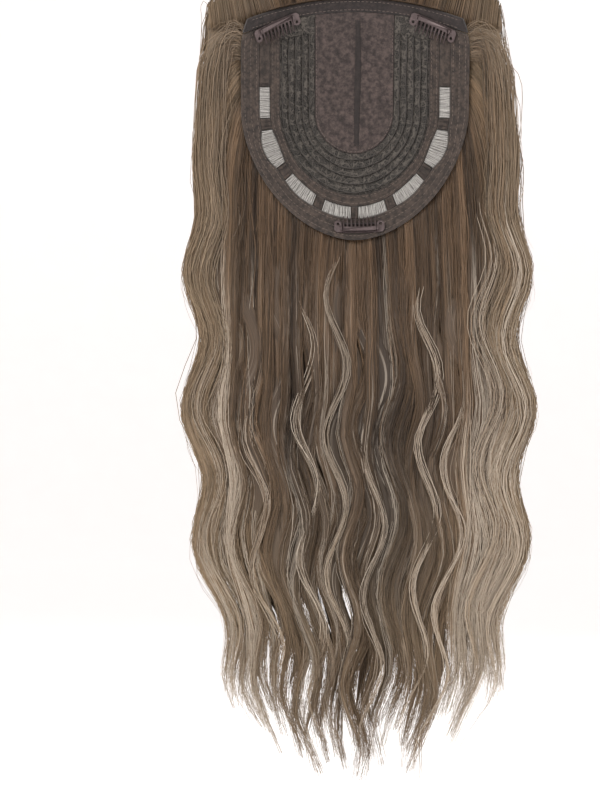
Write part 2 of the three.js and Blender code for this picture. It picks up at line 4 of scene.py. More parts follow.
import bpy
import numpy as np
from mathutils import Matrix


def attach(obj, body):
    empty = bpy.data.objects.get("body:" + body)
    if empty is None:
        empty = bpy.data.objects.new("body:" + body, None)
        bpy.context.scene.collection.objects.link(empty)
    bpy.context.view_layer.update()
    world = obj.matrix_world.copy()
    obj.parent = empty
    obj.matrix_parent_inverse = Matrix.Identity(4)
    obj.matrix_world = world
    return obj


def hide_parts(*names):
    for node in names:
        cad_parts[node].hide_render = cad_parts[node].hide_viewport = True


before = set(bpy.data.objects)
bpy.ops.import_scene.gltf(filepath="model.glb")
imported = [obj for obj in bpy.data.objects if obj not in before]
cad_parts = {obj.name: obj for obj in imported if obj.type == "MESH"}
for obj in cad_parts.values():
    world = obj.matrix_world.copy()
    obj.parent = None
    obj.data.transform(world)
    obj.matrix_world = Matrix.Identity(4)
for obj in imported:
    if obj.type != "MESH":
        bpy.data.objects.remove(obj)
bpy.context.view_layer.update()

# Sizes in millimetres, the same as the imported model's
MM = 0.001
BASE_HALF_WIDTH = 72.0
BASE_LENGTH = 153.0
SIDE_LENGTH = 70.0
END_SHARPNESS = 1.1
FRONT_SAG = 17.0
CORNER_PINCH = 4.5
CORNER_DROP = 34.0
HEAD_RADIUS_ACROSS = 100.0
HEAD_RADIUS_ALONG = 130.0
CREST_DROP = 77.0
FRONT_BINDING_WIDTH = 7.3
RIM_WIDTH = 11.0
WINDOW_WIDTH = 6.5
INNER_BINDING_WIDTH = 6.0
PANEL_HALF_WIDTH = 25.5
PANEL_LENGTH = 96.4
PANEL_FAR = 0.6
TRACK_COUNT = 5
TRACK_SETBACK = 11.0
TRACK_WIDTH = 3.4
SEAM_X = 2.0
SEWN_GAP = 0.3
RIM_THICKNESS = 1.8
HAIR_FALL = 502.0
HAIR_ARCH = 38.0
HAIR_HALF_WIDTH = 110.0
FRONT_CLIP_X = 50.0
ARCH_HALF_WIDTH = 98.0
WAVE_LENGTH = 89.0
WAVE_CREST = 260.0
WAVE_AMPLITUDE = 6.5
WAVE_DEPTH = 2.2
WAVE_START = 90.0
RIM_HAIR_REACH = 75.0
RIM_HAIR_STANDOFF = 4.0
RIM_HAIR_THICKNESS = 9.0
RIM_ROOT_THICKNESS = 5.0
LOCK_CLEARANCE = 1.4
CROWN_INNER = 18.0
CROWN_OUTER = 41.0
LAYER_GAP = 7.0
HAIR_GAP = 3.0
CROWN_CLEARANCE = 0.85
SIDE_SHARE = 0.2

CAP_DEPTH = BASE_HALF_WIDTH ** 2 / (2 * HEAD_RADIUS_ACROSS)
BACK_LENGTH = BASE_LENGTH - SIDE_LENGTH
BAND_SPAN = BASE_HALF_WIDTH - PANEL_HALF_WIDTH
WINDOW_INSET = RIM_WIDTH + SEWN_GAP
INNER_BINDING_INSET = WINDOW_INSET + WINDOW_WIDTH + SEWN_GAP
LACE_INSET = INNER_BINDING_INSET + INNER_BINDING_WIDTH + SEWN_GAP

# Spread of the hanging hair: share of HAIR_FALL, then shares of HAIR_HALF_WIDTH at the left and the right
SPREAD = np.transpose([
    (0.0, 0.88, 0.87),
    (0.06, 0.91, 0.91),
    (0.14, 0.93, 0.94),
    (0.32, 0.94, 0.97),
    (0.53, 0.95, 1.0),
    (0.66, 0.91, 0.98),
    (0.75, 0.85, 0.93),
    (0.82, 0.76, 0.86),
    (0.91, 0.68, 0.77),
    (1.0, 0.56, 0.62),
])

# Depth of the crown hair's outer side: share of HAIR_FALL, then of CROWN_OUTER
CROWN_DEPTH = np.transpose([
    (0.0, 0.92),
    (0.1, 1.03),
    (0.2, 1.04),
    (0.32, 0.96),
    (0.55, 0.86),
    (0.8, 0.78),
    (1.0, 0.68),
])

# Windows on one side of the base: where they start and end as shares of the way round the rim, and how
# far their edges bow out
WINDOWS = [(0.142, 0.219, 0.0), (0.24, 0.314, 0.42), (0.338, 0.408, 0.12), (0.426, 0.492, 0.0)]

# Locks of the rim hair from the left corner to the middle of the back: the root, column and fall of
# each one's outer side
RIM_LOCKS = [
    (0.02, 1.0, 0.9),
    (0.13, 0.86, 0.95),
    (0.22, 0.72, 0.91),
    (0.31, 0.56, 0.985),
    (0.38, 0.39, 0.95),
    (0.44, 0.21, 1.0),
]
RIM_CENTRE = (0.5, 0.0)

# Locks of the crown hair from left to right: the column and fall of each one's left side
CROWN_LOCKS = [
    (-1.0, 0.93),
    (-0.79, 0.97),
    (-0.6, 0.94),
    (-0.4, 1.0),
    (-0.2, 0.97),
    (0.0, 0.99),
    (0.2, 0.95),
    (0.4, 1.0),
    (0.6, 0.95),
    (0.79, 0.91),
]

# Pale locks that stand out in front: column, where they show from and end, half width in millimetres,
# and a shift of their waves in radians
PALE_LOCKS = [
    (-0.9, 190, 455, 4.0, 0.3),
    (-0.62, 250, 440, 3.0, -0.5),
    (-0.3, 190, 480, 2.6, 0.6),
    (-0.12, 150, 430, 2.0, 0.1),
    (0.12, 280, 490, 2.4, -0.4),
    (0.42, 170, 470, 2.8, 0.5),
    (0.58, 240, 495, 3.4, -0.2),
    (0.78, 120, 450, 4.2, 0.3),
    (0.93, 90, 460, 5.0, -0.2),
]

rng = np.random.default_rng(11)


# Number helpers
def lerp(a, b, share):
    return a + (b - a) * share


def smoothstep(value, low, high):
    share = np.clip((value - low) / (high - low), 0.0, 1.0)
    return share * share * (3.0 - 2.0 * share)


def shares(steps):
    """Even shares from 0 to 1, as one row."""
    return np.linspace(0.0, 1.0, steps)[None, :]


def grid(rows, columns, down=(0.0, 1.0), across=(0.0, 1.0)):
    """Two grids of points: one grows evenly from row to row, the other from column to column."""
    return np.meshgrid(np.linspace(*down, rows + 1), np.linspace(*across, columns + 1), indexing="ij")


def srgb(red, green, blue):
    """A colour given in 0 to 255 steps, as linear numbers."""
    parts = np.array([red, green, blue]) / 255.0
    return tuple(np.where(parts <= 0.04045, parts / 12.92, ((parts + 0.055) / 1.055) ** 2.4))


# The base's surface and outline
def cap_height(x, z):
    along = z + CREST_DROP
    return CAP_DEPTH - x * x / (2 * HEAD_RADIUS_ACROSS) - along * along / (2 * HEAD_RADIUS_ALONG)


def inward(x, z):
    along = z + CREST_DROP
    normal = np.stack([-x / HEAD_RADIUS_ACROSS, -np.ones_like(x), -along / HEAD_RADIUS_ALONG], axis=-1)
    return normal / np.linalg.norm(normal, axis=-1, keepdims=True)


def on_cap(x, z, offset):
    """Points of the dome, moved by offset towards the head."""
    x, z, offset = np.broadcast_arrays(np.asarray(x, float), np.asarray(z, float), np.asarray(offset, float))
    points = np.stack([x, cap_height(x, z), z], axis=-1)
    return points + inward(x, z) * offset[..., None]


def front_edge(x):
    across = np.minimum(np.abs(x) / BASE_HALF_WIDTH, 1.0)
    return -FRONT_SAG * across * across


def pinch(z):
    near = np.clip((z + CORNER_DROP) / (CORNER_DROP - FRONT_SAG), 0.0, 1.3)
    return CORNER_PINCH * near * near


def outline_half_width(z):
    down = np.clip((-z - SIDE_LENGTH) / BACK_LENGTH, 0.0, 1.0)
    power = 2 / END_SHARPNESS
    narrowed = BASE_HALF_WIDTH * (1 - down ** power) ** (1 / power)
    return np.where(z > -SIDE_LENGTH, BASE_HALF_WIDTH - pinch(z), narrowed)


def outline_ratio(x, z):
    """How far out points lie: 1 on the outline of the back end, less inside it."""
    power = 2 / END_SHARPNESS
    across = np.abs(x / BASE_HALF_WIDTH) ** power
    down = np.abs((z + SIDE_LENGTH) / BACK_LENGTH) ** power
    return (across + down) ** (1 / power)


def u_point(inset, share, setback=0.0):
    """A point of the U curve at an inset from the outline, from the left front end to the right one."""
    inset, share = np.broadcast_arrays(np.asarray(inset, float), np.asarray(share, float))
    reach = (BAND_SPAN - inset) / BAND_SPAN
    half = BASE_HALF_WIDTH - inset
    depth = lerp(PANEL_LENGTH, BASE_LENGTH, reach) - SIDE_LENGTH
    way = np.minimum(share, 1 - share)
    top = front_edge(half) - FRONT_BINDING_WIDTH - SEWN_GAP - setback
    side_z = lerp(top, -SIDE_LENGTH, way / SIDE_SHARE)
    side_x = half - pinch(side_z) * reach ** 3
    angle = np.pi * (way - SIDE_SHARE) / (1 - 2 * SIDE_SHARE)
    on_side = way < SIDE_SHARE
    sharpness = lerp(1.0, END_SHARPNESS, reach)
    sine = np.sin(np.maximum(angle, 0.0)) ** sharpness
    cosine = np.abs(np.cos(angle)) ** sharpness
    x = np.where(on_side, side_x, half * cosine)
    z = np.where(on_side, side_z, -SIDE_LENGTH - depth * sine)
    return np.where(share > 0.5, x, -x), z


def window_swell(share):
    way = np.minimum(share, 1 - share)
    swell = np.zeros_like(way)
    for start, end, bow in WINDOWS:
        bowed = WINDOW_WIDTH * bow * np.sin(np.pi * (way - start) / (end - start))
        swell = np.where((way > start) & (way < end), bowed, swell)
    return swell


# The hair's column lines
def hair_edge(z, side):
    drop = np.clip(-z / HAIR_FALL, 0.0, 1.0)
    drops, left, right = SPREAD
    return HAIR_HALF_WIDTH * np.where(side < 0, -np.interp(drop, drops, left), np.interp(drop, drops, right))


def wave_angle(column, z):
    return 2 * np.pi * (-z - WAVE_CREST) / WAVE_LENGTH + np.pi * (1 - column) / 2


def wave_size(z):
    return smoothstep(-z, WAVE_START, WAVE_START + WAVE_LENGTH)


def column_x(column, z, shift=0.0, gain=1.0):
    swing = gain * WAVE_AMPLITUDE * wave_size(z) * np.cos(wave_angle(column, z) + shift)
    return np.abs(column) * hair_edge(z, column) + swing


def wave_y(column, z, shift=0.0):
    return WAVE_DEPTH * wave_size(z) * np.sin(wave_angle(column, z) + shift)


def beside_base(x, z):
    """The outline's points next to points beside the base, and how far away they are."""
    half = outline_half_width(z)
    side_x = np.clip(x, -half, half)
    down = z + SIDE_LENGTH
    ratio = np.maximum(outline_ratio(x, z), 1.0)
    on_side = z > -SIDE_LENGTH
    near_x = np.where(on_side, side_x, x / ratio)
    near_z = np.where(on_side, z, -SIDE_LENGTH + down / ratio)
    away = np.where(on_side, np.abs(x - side_x), np.hypot(x, down) * (1 - 1 / ratio))
    return near_x, near_z, away


def rim_hair_near(x, z):
    near_x, near_z, away = beside_base(x, z)
    behind = cap_height(near_x, near_z) + RIM_THICKNESS / 2 + LOCK_CLEARANCE
    return lerp(behind, RIM_HAIR_STANDOFF, smoothstep(away, 0.0, RIM_HAIR_REACH))


def rim_hair_room(fallen, root, full):
    """The rim hair's thickness at a distance below its roots."""
    return lerp(root, full, smoothstep(fallen, 0.0, RIM_HAIR_REACH))


def crown_near(x, z):
    outer = smoothstep(outline_ratio(x, z), 0.5, 0.72)
    room = (RIM_ROOT_THICKNESS + LAYER_GAP) * outer
    rest = np.maximum(cap_height(x, z) + PANEL_FAR + CROWN_CLEARANCE + room, CROWN_INNER)
    rim_far = rim_hair_near(x, z) + RIM_HAIR_THICKNESS + HAIR_GAP
    return np.maximum(rest, lerp(CROWN_INNER, rim_far, outer))


def crown_far(column, z):
    drop = np.clip(-z / HAIR_FALL, 0.0, 1.0)
    return CROWN_OUTER * np.interp(drop, *CROWN_DEPTH) * (1 - 0.32 * np.abs(column) ** 4)


# Mesh helpers
def add_object(name, data):
    thing = bpy.data.objects.new(name, data)
    bpy.context.scene.collection.objects.link(thing)
    return thing


def finish_mesh(mesh, material):
    mesh.materials.append(material)
    mesh.polygons.foreach_set("use_smooth", [True] * len(mesh.polygons))


def new_piece(name, geometry, material, replaced=()):
    """A mesh piece from points in millimetres and faces, on the base, that may replace model nodes."""
    points, faces = geometry
    mesh = bpy.data.meshes.new(name)
    mesh.from_pydata((points * MM).tolist(), [], faces)
    mesh.validate()
    mesh.update()
    finish_mesh(mesh, material)
    piece = add_object(name, mesh)
    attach(piece, "base")
    if replaced:
        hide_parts(*replaced)
    return piece


def numbered(name, count):
    return [f"{name}_{number}" for number in range(1, count + 1)]


def turned_out(points, faces):
    """The faces, all turned over if they enclose the points' volume inside out."""
    volume = 0.0
    for face in faces:
        for index in range(1, len(face) - 1):
            a, b, c = points[face[0]], points[face[index]], points[face[index + 1]]
            volume += float(np.dot(a, np.cross(b, c)))
    return faces if volume > 0 else [face[::-1] for face in faces]


def slab_faces(rows, columns):
    """Faces of a slab whose points are ordered by row, column and side."""
    def index(i, j, side):
        return (i * (columns + 1) + j) * 2 + side

    faces = []
    for i in range(rows):
        for j in range(columns):
            faces.append([index(i, j, 1), index(i, j + 1, 1), index(i + 1, j + 1, 1), index(i + 1, j, 1)])
            faces.append([index(i, j, 0), index(i + 1, j, 0), index(i + 1, j + 1, 0), index(i, j + 1, 0)])
        faces.append([index(i, 0, 0), index(i, 0, 1), index(i + 1, 0, 1), index(i + 1, 0, 0)])
        end = columns
        faces.append([index(i, end, 0), index(i + 1, end, 0), index(i + 1, end, 1), index(i, end, 1)])
    for j in range(columns):
        faces.append([index(0, j, 0), index(0, j + 1, 0), index(0, j + 1, 1), index(0, j, 1)])
        faces.append([index(rows, j, 0), index(rows, j, 1), index(rows, j + 1, 1), index(rows, j + 1, 0)])
    return faces


def closed_slab(far, near):
    """Points and faces of a wall between two grids of points."""
    points = np.stack([far, near], axis=2).reshape(-1, 3)
    return points, turned_out(points, slab_faces(far.shape[0] - 1, far.shape[1] - 1))


def slab(x, z, near, far):
    """Points and faces of a wall on the dome from grids of x, z and the two sides' offsets."""
    return closed_slab(on_cap(x, z, far), on_cap(x, z, near))


def joined(parts):
    """One list of points and faces from several."""
    points, faces, base = [], [], 0
    for part_points, part_faces in parts:
        points.append(part_points)
        faces.extend([[corner + base for corner in face] for face in part_faces])
        base += len(part_points)
    return np.concatenate(points), faces


def tube_faces(count, steps, sides):
    """Faces of closed tubes whose points are ordered by tube, step and side."""
    tube = np.arange(count)[:, None, None] * steps * sides
    step = np.arange(steps - 1)[None, :, None] * sides
    side = np.arange(sides)[None, None, :]
    a = tube + step + side
    b = tube + step + (side + 1) % sides
    quads = np.stack([a, a + sides, b + sides, b], axis=-1).reshape(-1, 4).tolist()
    ends = np.arange(sides)
    first = (tube[:, 0] + ends).tolist()
    last = (tube[:, 0] + (steps - 1) * sides + ends[::-1]).tolist()
    return quads + first + last


def tubes(paths, radii, sides, turns):
    """Points and faces of tubes along many paths: paths is (n, k, 3), radii (n, k), turns (n,)."""
    along = np.gradient(paths, axis=1)
    along /= np.linalg.norm(along, axis=-1, keepdims=True) + 1e-9
    across = np.cross(along, np.array([0.0, 1.0, 0.02]))
    across /= np.linalg.norm(across, axis=-1, keepdims=True) + 1e-9
    out = np.cross(along, across)
    angles = turns[:, None] + 2 * np.pi * np.arange(sides) / sides
    cos, sin = np.cos(angles)[:, None, :, None], np.sin(angles)[:, None, :, None]
    ring = across[:, :, None, :] * cos + out[:, :, None, :] * sin
    points = paths[:, :, None, :] + ring * radii[:, :, None, None]
    return points.reshape(-1, 3), tube_faces(*paths.shape[:2], sides)


# Material helpers
BLACK = (0.0,) * 3
WHITE = (1.0,) * 3


def new_material(name, colour, roughness):
    material = bpy.data.materials.new(name)
    material.use_nodes = True
    shader = material.node_tree.nodes["Principled BSDF"]
    shader.inputs["Base Color"].default_value = (*colour, 1.0)
    shader.inputs["Roughness"].default_value = roughness
    return material, material.node_tree, shader


def add_node(tree, kind, inputs=(), **settings):
    """A node with its settings and its inputs, each a plain value or another node's output."""
    node = tree.nodes.new(kind)
    for key, value in settings.items():
        setattr(node, key, value)
    for key, value in dict(inputs).items():
        if isinstance(value, bpy.types.NodeSocket):
            tree.links.new(value, node.inputs[key])
        elif isinstance(value, tuple) and node.inputs[key].type == "RGBA":
            node.inputs[key].default_value = (*value, 1.0)
        else:
            node.inputs[key].default_value = value
    return node


def object_place(tree):
    return add_node(tree, "ShaderNodeTexCoord").outputs["Object"]


def noise(tree, place, scale, detail=3.0, rough=0.55):
    inputs = {"Vector": place, "Scale": scale, "Detail": detail, "Roughness": rough}
    return add_node(tree, "ShaderNodeTexNoise", inputs).outputs["Fac"]


def cell_edges(tree, place, scale):
    inputs = {"Vector": place, "Scale": scale}
    return add_node(tree, "ShaderNodeTexVoronoi", inputs, feature="DISTANCE_TO_EDGE").outputs["Distance"]


def ramp(tree, value, stops):
    node = add_node(tree, "ShaderNodeValToRGB", {"Fac": value})
    for element, (position, colour) in zip(node.color_ramp.elements, stops):
        element.position = position
        element.color = (*colour, 1.0)
    return node.outputs["Color"]


def mix_colours(tree, blend, share, first, second):
    inputs = {0: share, 6: first, 7: second}
    return add_node(tree, "ShaderNodeMix", inputs, data_type="RGBA", blend_type=blend).outputs[2]


def arithmetic(tree, operation, first, second):
    return add_node(tree, "ShaderNodeMath", {0: first, 1: second}, operation=operation).outputs[0]


def coat(tree, shader, colour, height, strength, distance):
    """Links a material's colour and its relief to its shader."""
    tree.links.new(colour, shader.inputs["Base Color"])
    inputs = {"Height": height, "Strength": strength, "Distance": distance}
    relief = add_node(tree, "ShaderNodeBump", inputs)
    tree.links.new(relief.outputs["Normal"], shader.inputs["Normal"])


# Materials
def flow_noise(tree, across, along, detail):
    """Noise that runs with the hair, at so many steps a millimetre across and along it."""
    flow = add_node(tree, "ShaderNodeAttribute", attribute_name="flow")
    inputs = {"Vector": flow.outputs["Vector"], "Scale": (across, along, 1.0)}
    mapping = add_node(tree, "ShaderNodeMapping", inputs)
    return noise(tree, mapping.outputs["Vector"], 1.0, detail)


def hair_material(name, roughness, pale_from, pale_to, contrast):
    """Hair coloured by its points, with fine streaks and pale wisps along it."""
    material, tree, shader = new_material(name, (0.1, 0.07, 0.05), roughness)
    tint = add_node(tree, "ShaderNodeAttribute", attribute_name="tint")
    pale = add_node(tree, "ShaderNodeAttribute", attribute_name="pale")
    fine = flow_noise(tree, 1.9, 0.012, 3.0)
    broad = flow_noise(tree, 0.42, 0.006, 1.0)
    dark, light = 1 - contrast, 1 + contrast
    flecks = ramp(tree, fine, [(0.32, (dark, dark, dark * 0.98)), (0.68, (light, light, light))])
    colour = mix_colours(tree, "MULTIPLY", 1.0, tint.outputs["Color"], flecks)
    wisp = ramp(tree, broad, [(pale_from, BLACK), (pale_to, WHITE)])
    share = arithmetic(tree, "MULTIPLY", wisp, pale.outputs["Fac"])
    coat(tree, shader, mix_colours(tree, "MIX", share, colour, srgb(206, 193, 177)), fine, 0.6, 0.0005)
    shader.inputs["Specular IOR Level"].default_value = 0.4
    return material


def cloth_material(name, dark, light, weave_scale, relief):
    """Matt woven cloth: a fine cross weave and soft mottling in its own tone, whose colour also follows its
    relief: painted shade in its low places and a painted highlight on its high places.
    """
    material, tree, shader = new_material(name, dark, 0.88)
    place = object_place(tree)
    mottle = noise(tree, place, 330.0, 5.0, 0.65)
    inputs = {"Vector": place, "Scale": weave_scale, "Distortion": 0.8}
    waves = [add_node(tree, "ShaderNodeTexWave", inputs, wave_type="BANDS", bands_direction=axis)
             for axis in ("X", "Z")]
    weave = arithmetic(tree, "MULTIPLY", *[wave.outputs["Fac"] for wave in waves])
    share = arithmetic(tree, "ADD", arithmetic(tree, "MULTIPLY", weave, 0.4), mottle)
    # The same value gives colour and relief: painted shade where the weave is low, painted highlight where
    # it is high
    coat(tree, shader, ramp(tree, share, [(0.44, dark), (0.86, light)]), share, relief, 0.0003)
    shader.inputs["Sheen Weight"].default_value = 0.15
    shader.inputs["Sheen Roughness"].default_value = 0.5
    return material


def lace_material(name, ground, thread, gap):
    """Stretch lace: a fine mesh ground with scrolls of heavier thread, and near-black patches of painted
    shade where its open places would show the shade behind.
    """
    material, tree, shader = new_material(name, ground, 0.85)
    place = object_place(tree)
    swirl = add_node(tree, "ShaderNodeTexNoise", {"Vector": place, "Scale": 150.0})
    bent = mix_colours(tree, "ADD", 0.012, place, swirl.outputs["Color"])
    scroll = ramp(tree, cell_edges(tree, bent, 165.0), [(0.02, WHITE), (0.09, BLACK)])
    fine = ramp(tree, cell_edges(tree, place, 900.0), [(0.05, WHITE), (0.2, BLACK)])
    # Painted shade: noise patches of the ground go near black, standing in for the shade seen through the
    # lace's holes
    shaded_holes = ramp(tree, noise(tree, place, 95.0, 2.0), [(0.42, gap), (0.62, ground)])
    lines = mix_colours(tree, "MIX", arithmetic(tree, "MULTIPLY", fine, 0.45), shaded_holes, thread)
    colour = mix_colours(tree, "MIX", arithmetic(tree, "MULTIPLY", scroll, 0.75), lines, thread)
    height = arithmetic(tree, "ADD", scroll, arithmetic(tree, "MULTIPLY", fine, 0.5))
    coat(tree, shader, colour, height, 0.6, 0.0004)
    return material


def grained_material(name, colour, roughness, grain, stops, relief):
    """One colour that a grain makes darker or lighter, and the grain: stops pair it with brightness."""
    material, tree, shader = new_material(name, colour, roughness)
    value = noise(tree, object_place(tree), *grain)
    shades = [(at, tuple(part * gain for part in colour)) for at, gain in stops]
    coat(tree, shader, ramp(tree, value, shades), value, *relief)
    return material, value


def thread_material(name, colour, roughness):
    """Twisted sewing or elastic thread."""
    stops = [(0.35, 0.7), (0.65, 1.0)]
    return grained_material(name, colour, roughness, (1600.0, 2.0), stops, (0.4, 0.0002))[0]


def rubber_material(name, colour):
    stops = [(0.3, 1.0), (0.8, 1.6)]
    return grained_material(name, colour, 0.7, (1400.0,), stops, (0.25, 0.0001))[0]


def steel_material(name, colour):
    """Painted spring steel, worn a little in noise patches and dulled by fine scratches."""
    stops = [(0.45, 1.0), (0.72, 1.5)]
    material, wear = grained_material(name, colour, 0.4, (420.0, 5.0, 0.7), stops, (0.15, 0.0001))
    tree = material.node_tree
    shader = tree.nodes["Principled BSDF"]
    rough = ramp(tree, wear, [(0.3, (0.32,) * 3), (0.8, (0.55,) * 3)])
    tree.links.new(rough, shader.inputs["Roughness"])
    shader.inputs["Metallic"].default_value = 0.55
    return material


RIM_CLOTH = cloth_material("rim_cloth", srgb(18, 13, 11), srgb(86, 73, 65), 520.0, 0.8)
FRONT_CLOTH = cloth_material("front_cloth", srgb(16, 12, 12), srgb(60, 50, 48), 520.0, 0.7)
PANEL_CLOTH = cloth_material("panel_cloth", srgb(22, 16, 15), srgb(94, 80, 76), 760.0, 0.8)
LACE = lace_material("stretch_lace", srgb(22, 19, 17), srgb(92, 86, 80), srgb(5, 4, 4))
RIB_CLOTH = cloth_material("rib_cloth", srgb(22, 20, 19), srgb(84, 78, 73), 640.0, 0.6)
SEAM_CLOTH = cloth_material("seam_cloth", srgb(24, 19, 18), srgb(50, 41, 39), 640.0, 0.4)
PALE_MESH = cloth_material("pale_elastic", srgb(96, 93, 90), srgb(150, 147, 143), 900.0, 0.5)
PALE_THREAD = thread_material("pale_thread", srgb(200, 197, 193), 0.6)
DARK_THREAD = thread_material("dark_thread", srgb(44, 37, 36), 0.6)
STITCH_THREAD = thread_material("stitch_thread", srgb(128, 114, 106), 0.55)
STEEL = steel_material("clip_paint", srgb(82, 71, 71))
RUBBER = rubber_material("grip_rubber", srgb(50, 44, 44))
STRAND_HAIR = hair_material("strand_hair", 0.42, -0.1, 0.0, 0.22)
BODY_HAIR = hair_material("body_hair", 0.5, 0.6, 0.72, 0.5)


# The base
def u_wall(outer, inner, rows, columns, near, far, span=(0.0, 1.0), setback=0.0):
    """A wall between two U curves; near and far are functions of the shares across and along."""
    share, across = grid(rows, columns, span)
    x, z = u_point(lerp(outer(share), inner(share), across), share, setback)
    return slab(x, z, near(across, share), far(across, share))


def level(value):
    """A function that gives the same value everywhere."""
    return lambda *place: value


def puckers(share, across, amount, pitch):
    """Small gathers that cross a sewn band."""
    return amount * np.sin(share * pitch) * np.sin(share * pitch * 0.37 + 2.0 * across)


def band_profile(across, height, ridges, depth):
    """A flat band with rolled edges and shallow valleys along its stitch lines."""
    rolled = 1 - 0.55 * np.abs(2 * across - 1) ** 10
    return height * rolled + depth * np.cos(2 * np.pi * ridges * across)


def build_bands():
    rim = u_wall(level(0.0), lambda s: RIM_WIDTH - window_swell(s), 300, 18,
                 lambda a, s: band_profile(a, 0.9, 3, 0.14) + puckers(s, a, 0.09, 420.0),
                 lambda a, s: -band_profile(a, 0.85, 3, 0.05))
    new_piece("rim_band", rim, RIM_CLOTH, ["rim_binding"])
    inner = u_wall(lambda s: INNER_BINDING_INSET + window_swell(s) / 2,
                   level(INNER_BINDING_INSET + INNER_BINDING_WIDTH), 260, 12,
                   lambda a, s: band_profile(a, 0.75, 2, 0.12) + puckers(s, a, 0.08, 380.0),
                   lambda a, s: -band_profile(a, 0.6, 2, 0.05))
    new_piece("inner_band", inner, RIM_CLOTH, ["inner_binding"])
    across, down = grid(120, 12, (-1.0, 1.0))
    drop = down * FRONT_BINDING_WIDTH
    x = across * (BASE_HALF_WIDTH - pinch(-FRONT_SAG - drop))
    near = band_profile(down, 1.1, 2, 0.1) + puckers(across * 0.5, down, 0.05, 260.0)
    front = slab(x, front_edge(x) - drop, near, -band_profile(down, 1.05, 2, 0.05))
    new_piece("front_band", front, FRONT_CLOTH, ["front_binding"])


def window_spans():
    left = [(start, end) for start, end, _ in WINDOWS]
    return left + [(1 - end, 1 - start) for start, end in reversed(left)]


def ring_edge(share):
    return WINDOW_INSET - window_swell(share)


def ring_inner_edge(share):
    return WINDOW_INSET + WINDOW_WIDTH + window_swell(share) / 2


def build_window_ring():
    spans = window_spans()
    starts = [0.0] + [end for _, end in spans]
    ends = [start for start, _ in spans] + [1.0]
    bridges = [u_wall(ring_edge, ring_inner_edge, max(10, int((end - start) * 300)), 8,
                      lambda a, s: 0.55 + puckers(s, a, 0.12, 700.0), level(-0.5), (start, end))
               for start, end in zip(starts, ends)]
    new_piece("bridge_tabs", joined(bridges), RIM_CLOTH, numbered("bridge", len(bridges)))
    hem = 0.0015
    sheets, threads = [], []
    for start, end in spans:
        span = (start + hem, end - hem)
        sheets.append(u_wall(ring_edge, ring_inner_edge, 60, 8,
                             lambda a, s: -0.1 + 0.18 * np.sin(s * 2600.0 + 3.0 * a) * np.sin(np.pi * a),
                             level(-0.4), span))
        threads.append(elastic_threads(*span))
    new_piece("window_mesh", joined(sheets), PALE_MESH, numbered("stretch_mesh", len(spans)))
    new_piece("window_threads", joined(threads), PALE_THREAD)


RIM_WAY = 400.0
THREAD_PITCH = 0.85
THREAD_STEPS = 7
THREAD_RADIUS = 0.2


def elastic_threads(start, end):
    """Pale elastic threads that cross one window from the rim to the inner binding."""
    count = int((end - start) * RIM_WAY / THREAD_PITCH)
    share = np.linspace(start, end, count + 2)[1:-1]
    share = share + rng.normal(0.0, 0.00035, count)
    across = np.linspace(0.02, 0.98, THREAD_STEPS)[None, :] * np.ones((count, 1))
    lean = rng.normal(0.0, 0.0012, count)[:, None] * (across - 0.5)
    along = share[:, None] + lean + 0.0006 * np.sin(np.pi * across) * rng.normal(0, 1, (count, 1))
    x, z = u_point(lerp(ring_edge(share)[:, None], ring_inner_edge(share)[:, None], across), along)
    height = 0.25 + 0.12 * np.sin(np.pi * across) + rng.normal(0, 0.05, (count, 1))
    radii = THREAD_RADIUS * rng.uniform(0.7, 1.25, (count, 1))
    return tubes(on_cap(x, z, height), radii, 4, rng.uniform(0, 6.28, count))


def track_sway(share, track):
    """How far a weft strip strays from its even line."""
    return 0.18 * np.sin(share * 37.0 + track * 2.1)


def track_cord(inset, height, track):
    """The raised edge of a weft ribbon."""
    share = np.linspace(0.0, 1.0, 200)
    x, z = u_point(inset + track_sway(share, track), share, TRACK_SETBACK)
    radii = 0.28 + 0.04 * np.sin(share * 900.0)[None]
    return tubes(on_cap(x, z, height)[None], radii, 6, np.zeros(1))


def lace_near(across, share):
    scallop = 0.5 + 0.5 * np.cos(2 * np.pi * TRACK_COUNT * across)
    return 0.25 + 0.25 * scallop + puckers(share, across, 0.08, 300.0)


def ribbon_near(across, share):
    ribs = 0.12 * np.cos(6 * np.pi * across)
    return 0.95 + 0.6 * (1 - across) ** 2 + ribs + puckers(share, across, 0.07, 520.0)


def build_lace():
    ground = u_wall(level(LACE_INSET), level(BAND_SPAN), 170, 40, lace_near, level(-0.5))
    new_piece("lace_ground", ground, LACE, ["lace_net"])
    pitch = (BAND_SPAN - LACE_INSET) / TRACK_COUNT
    ribbons, cords = [], []
    for track in range(TRACK_COUNT):
        start = LACE_INSET + pitch * (track + 0.5) - TRACK_WIDTH / 2
        ribbons.append(u_wall(lambda s: start + track_sway(s, track),
                              lambda s: start + TRACK_WIDTH + track_sway(s, track), 180, 6,
                              ribbon_near, level(0.8), setback=TRACK_SETBACK))
        cords.append(track_cord(start + 0.25, 1.6, track))
    new_piece("weft_ribbons", joined(ribbons), LACE, numbered("weft_track", TRACK_COUNT))
    new_piece("weft_piping", joined(cords), RIB_CLOTH)


PANEL_ROWS = 70
PANEL_SIDE_ROWS = 50
SEAM_HALF_WIDTH = 1.9
SEAM_END_GAP = 5.0


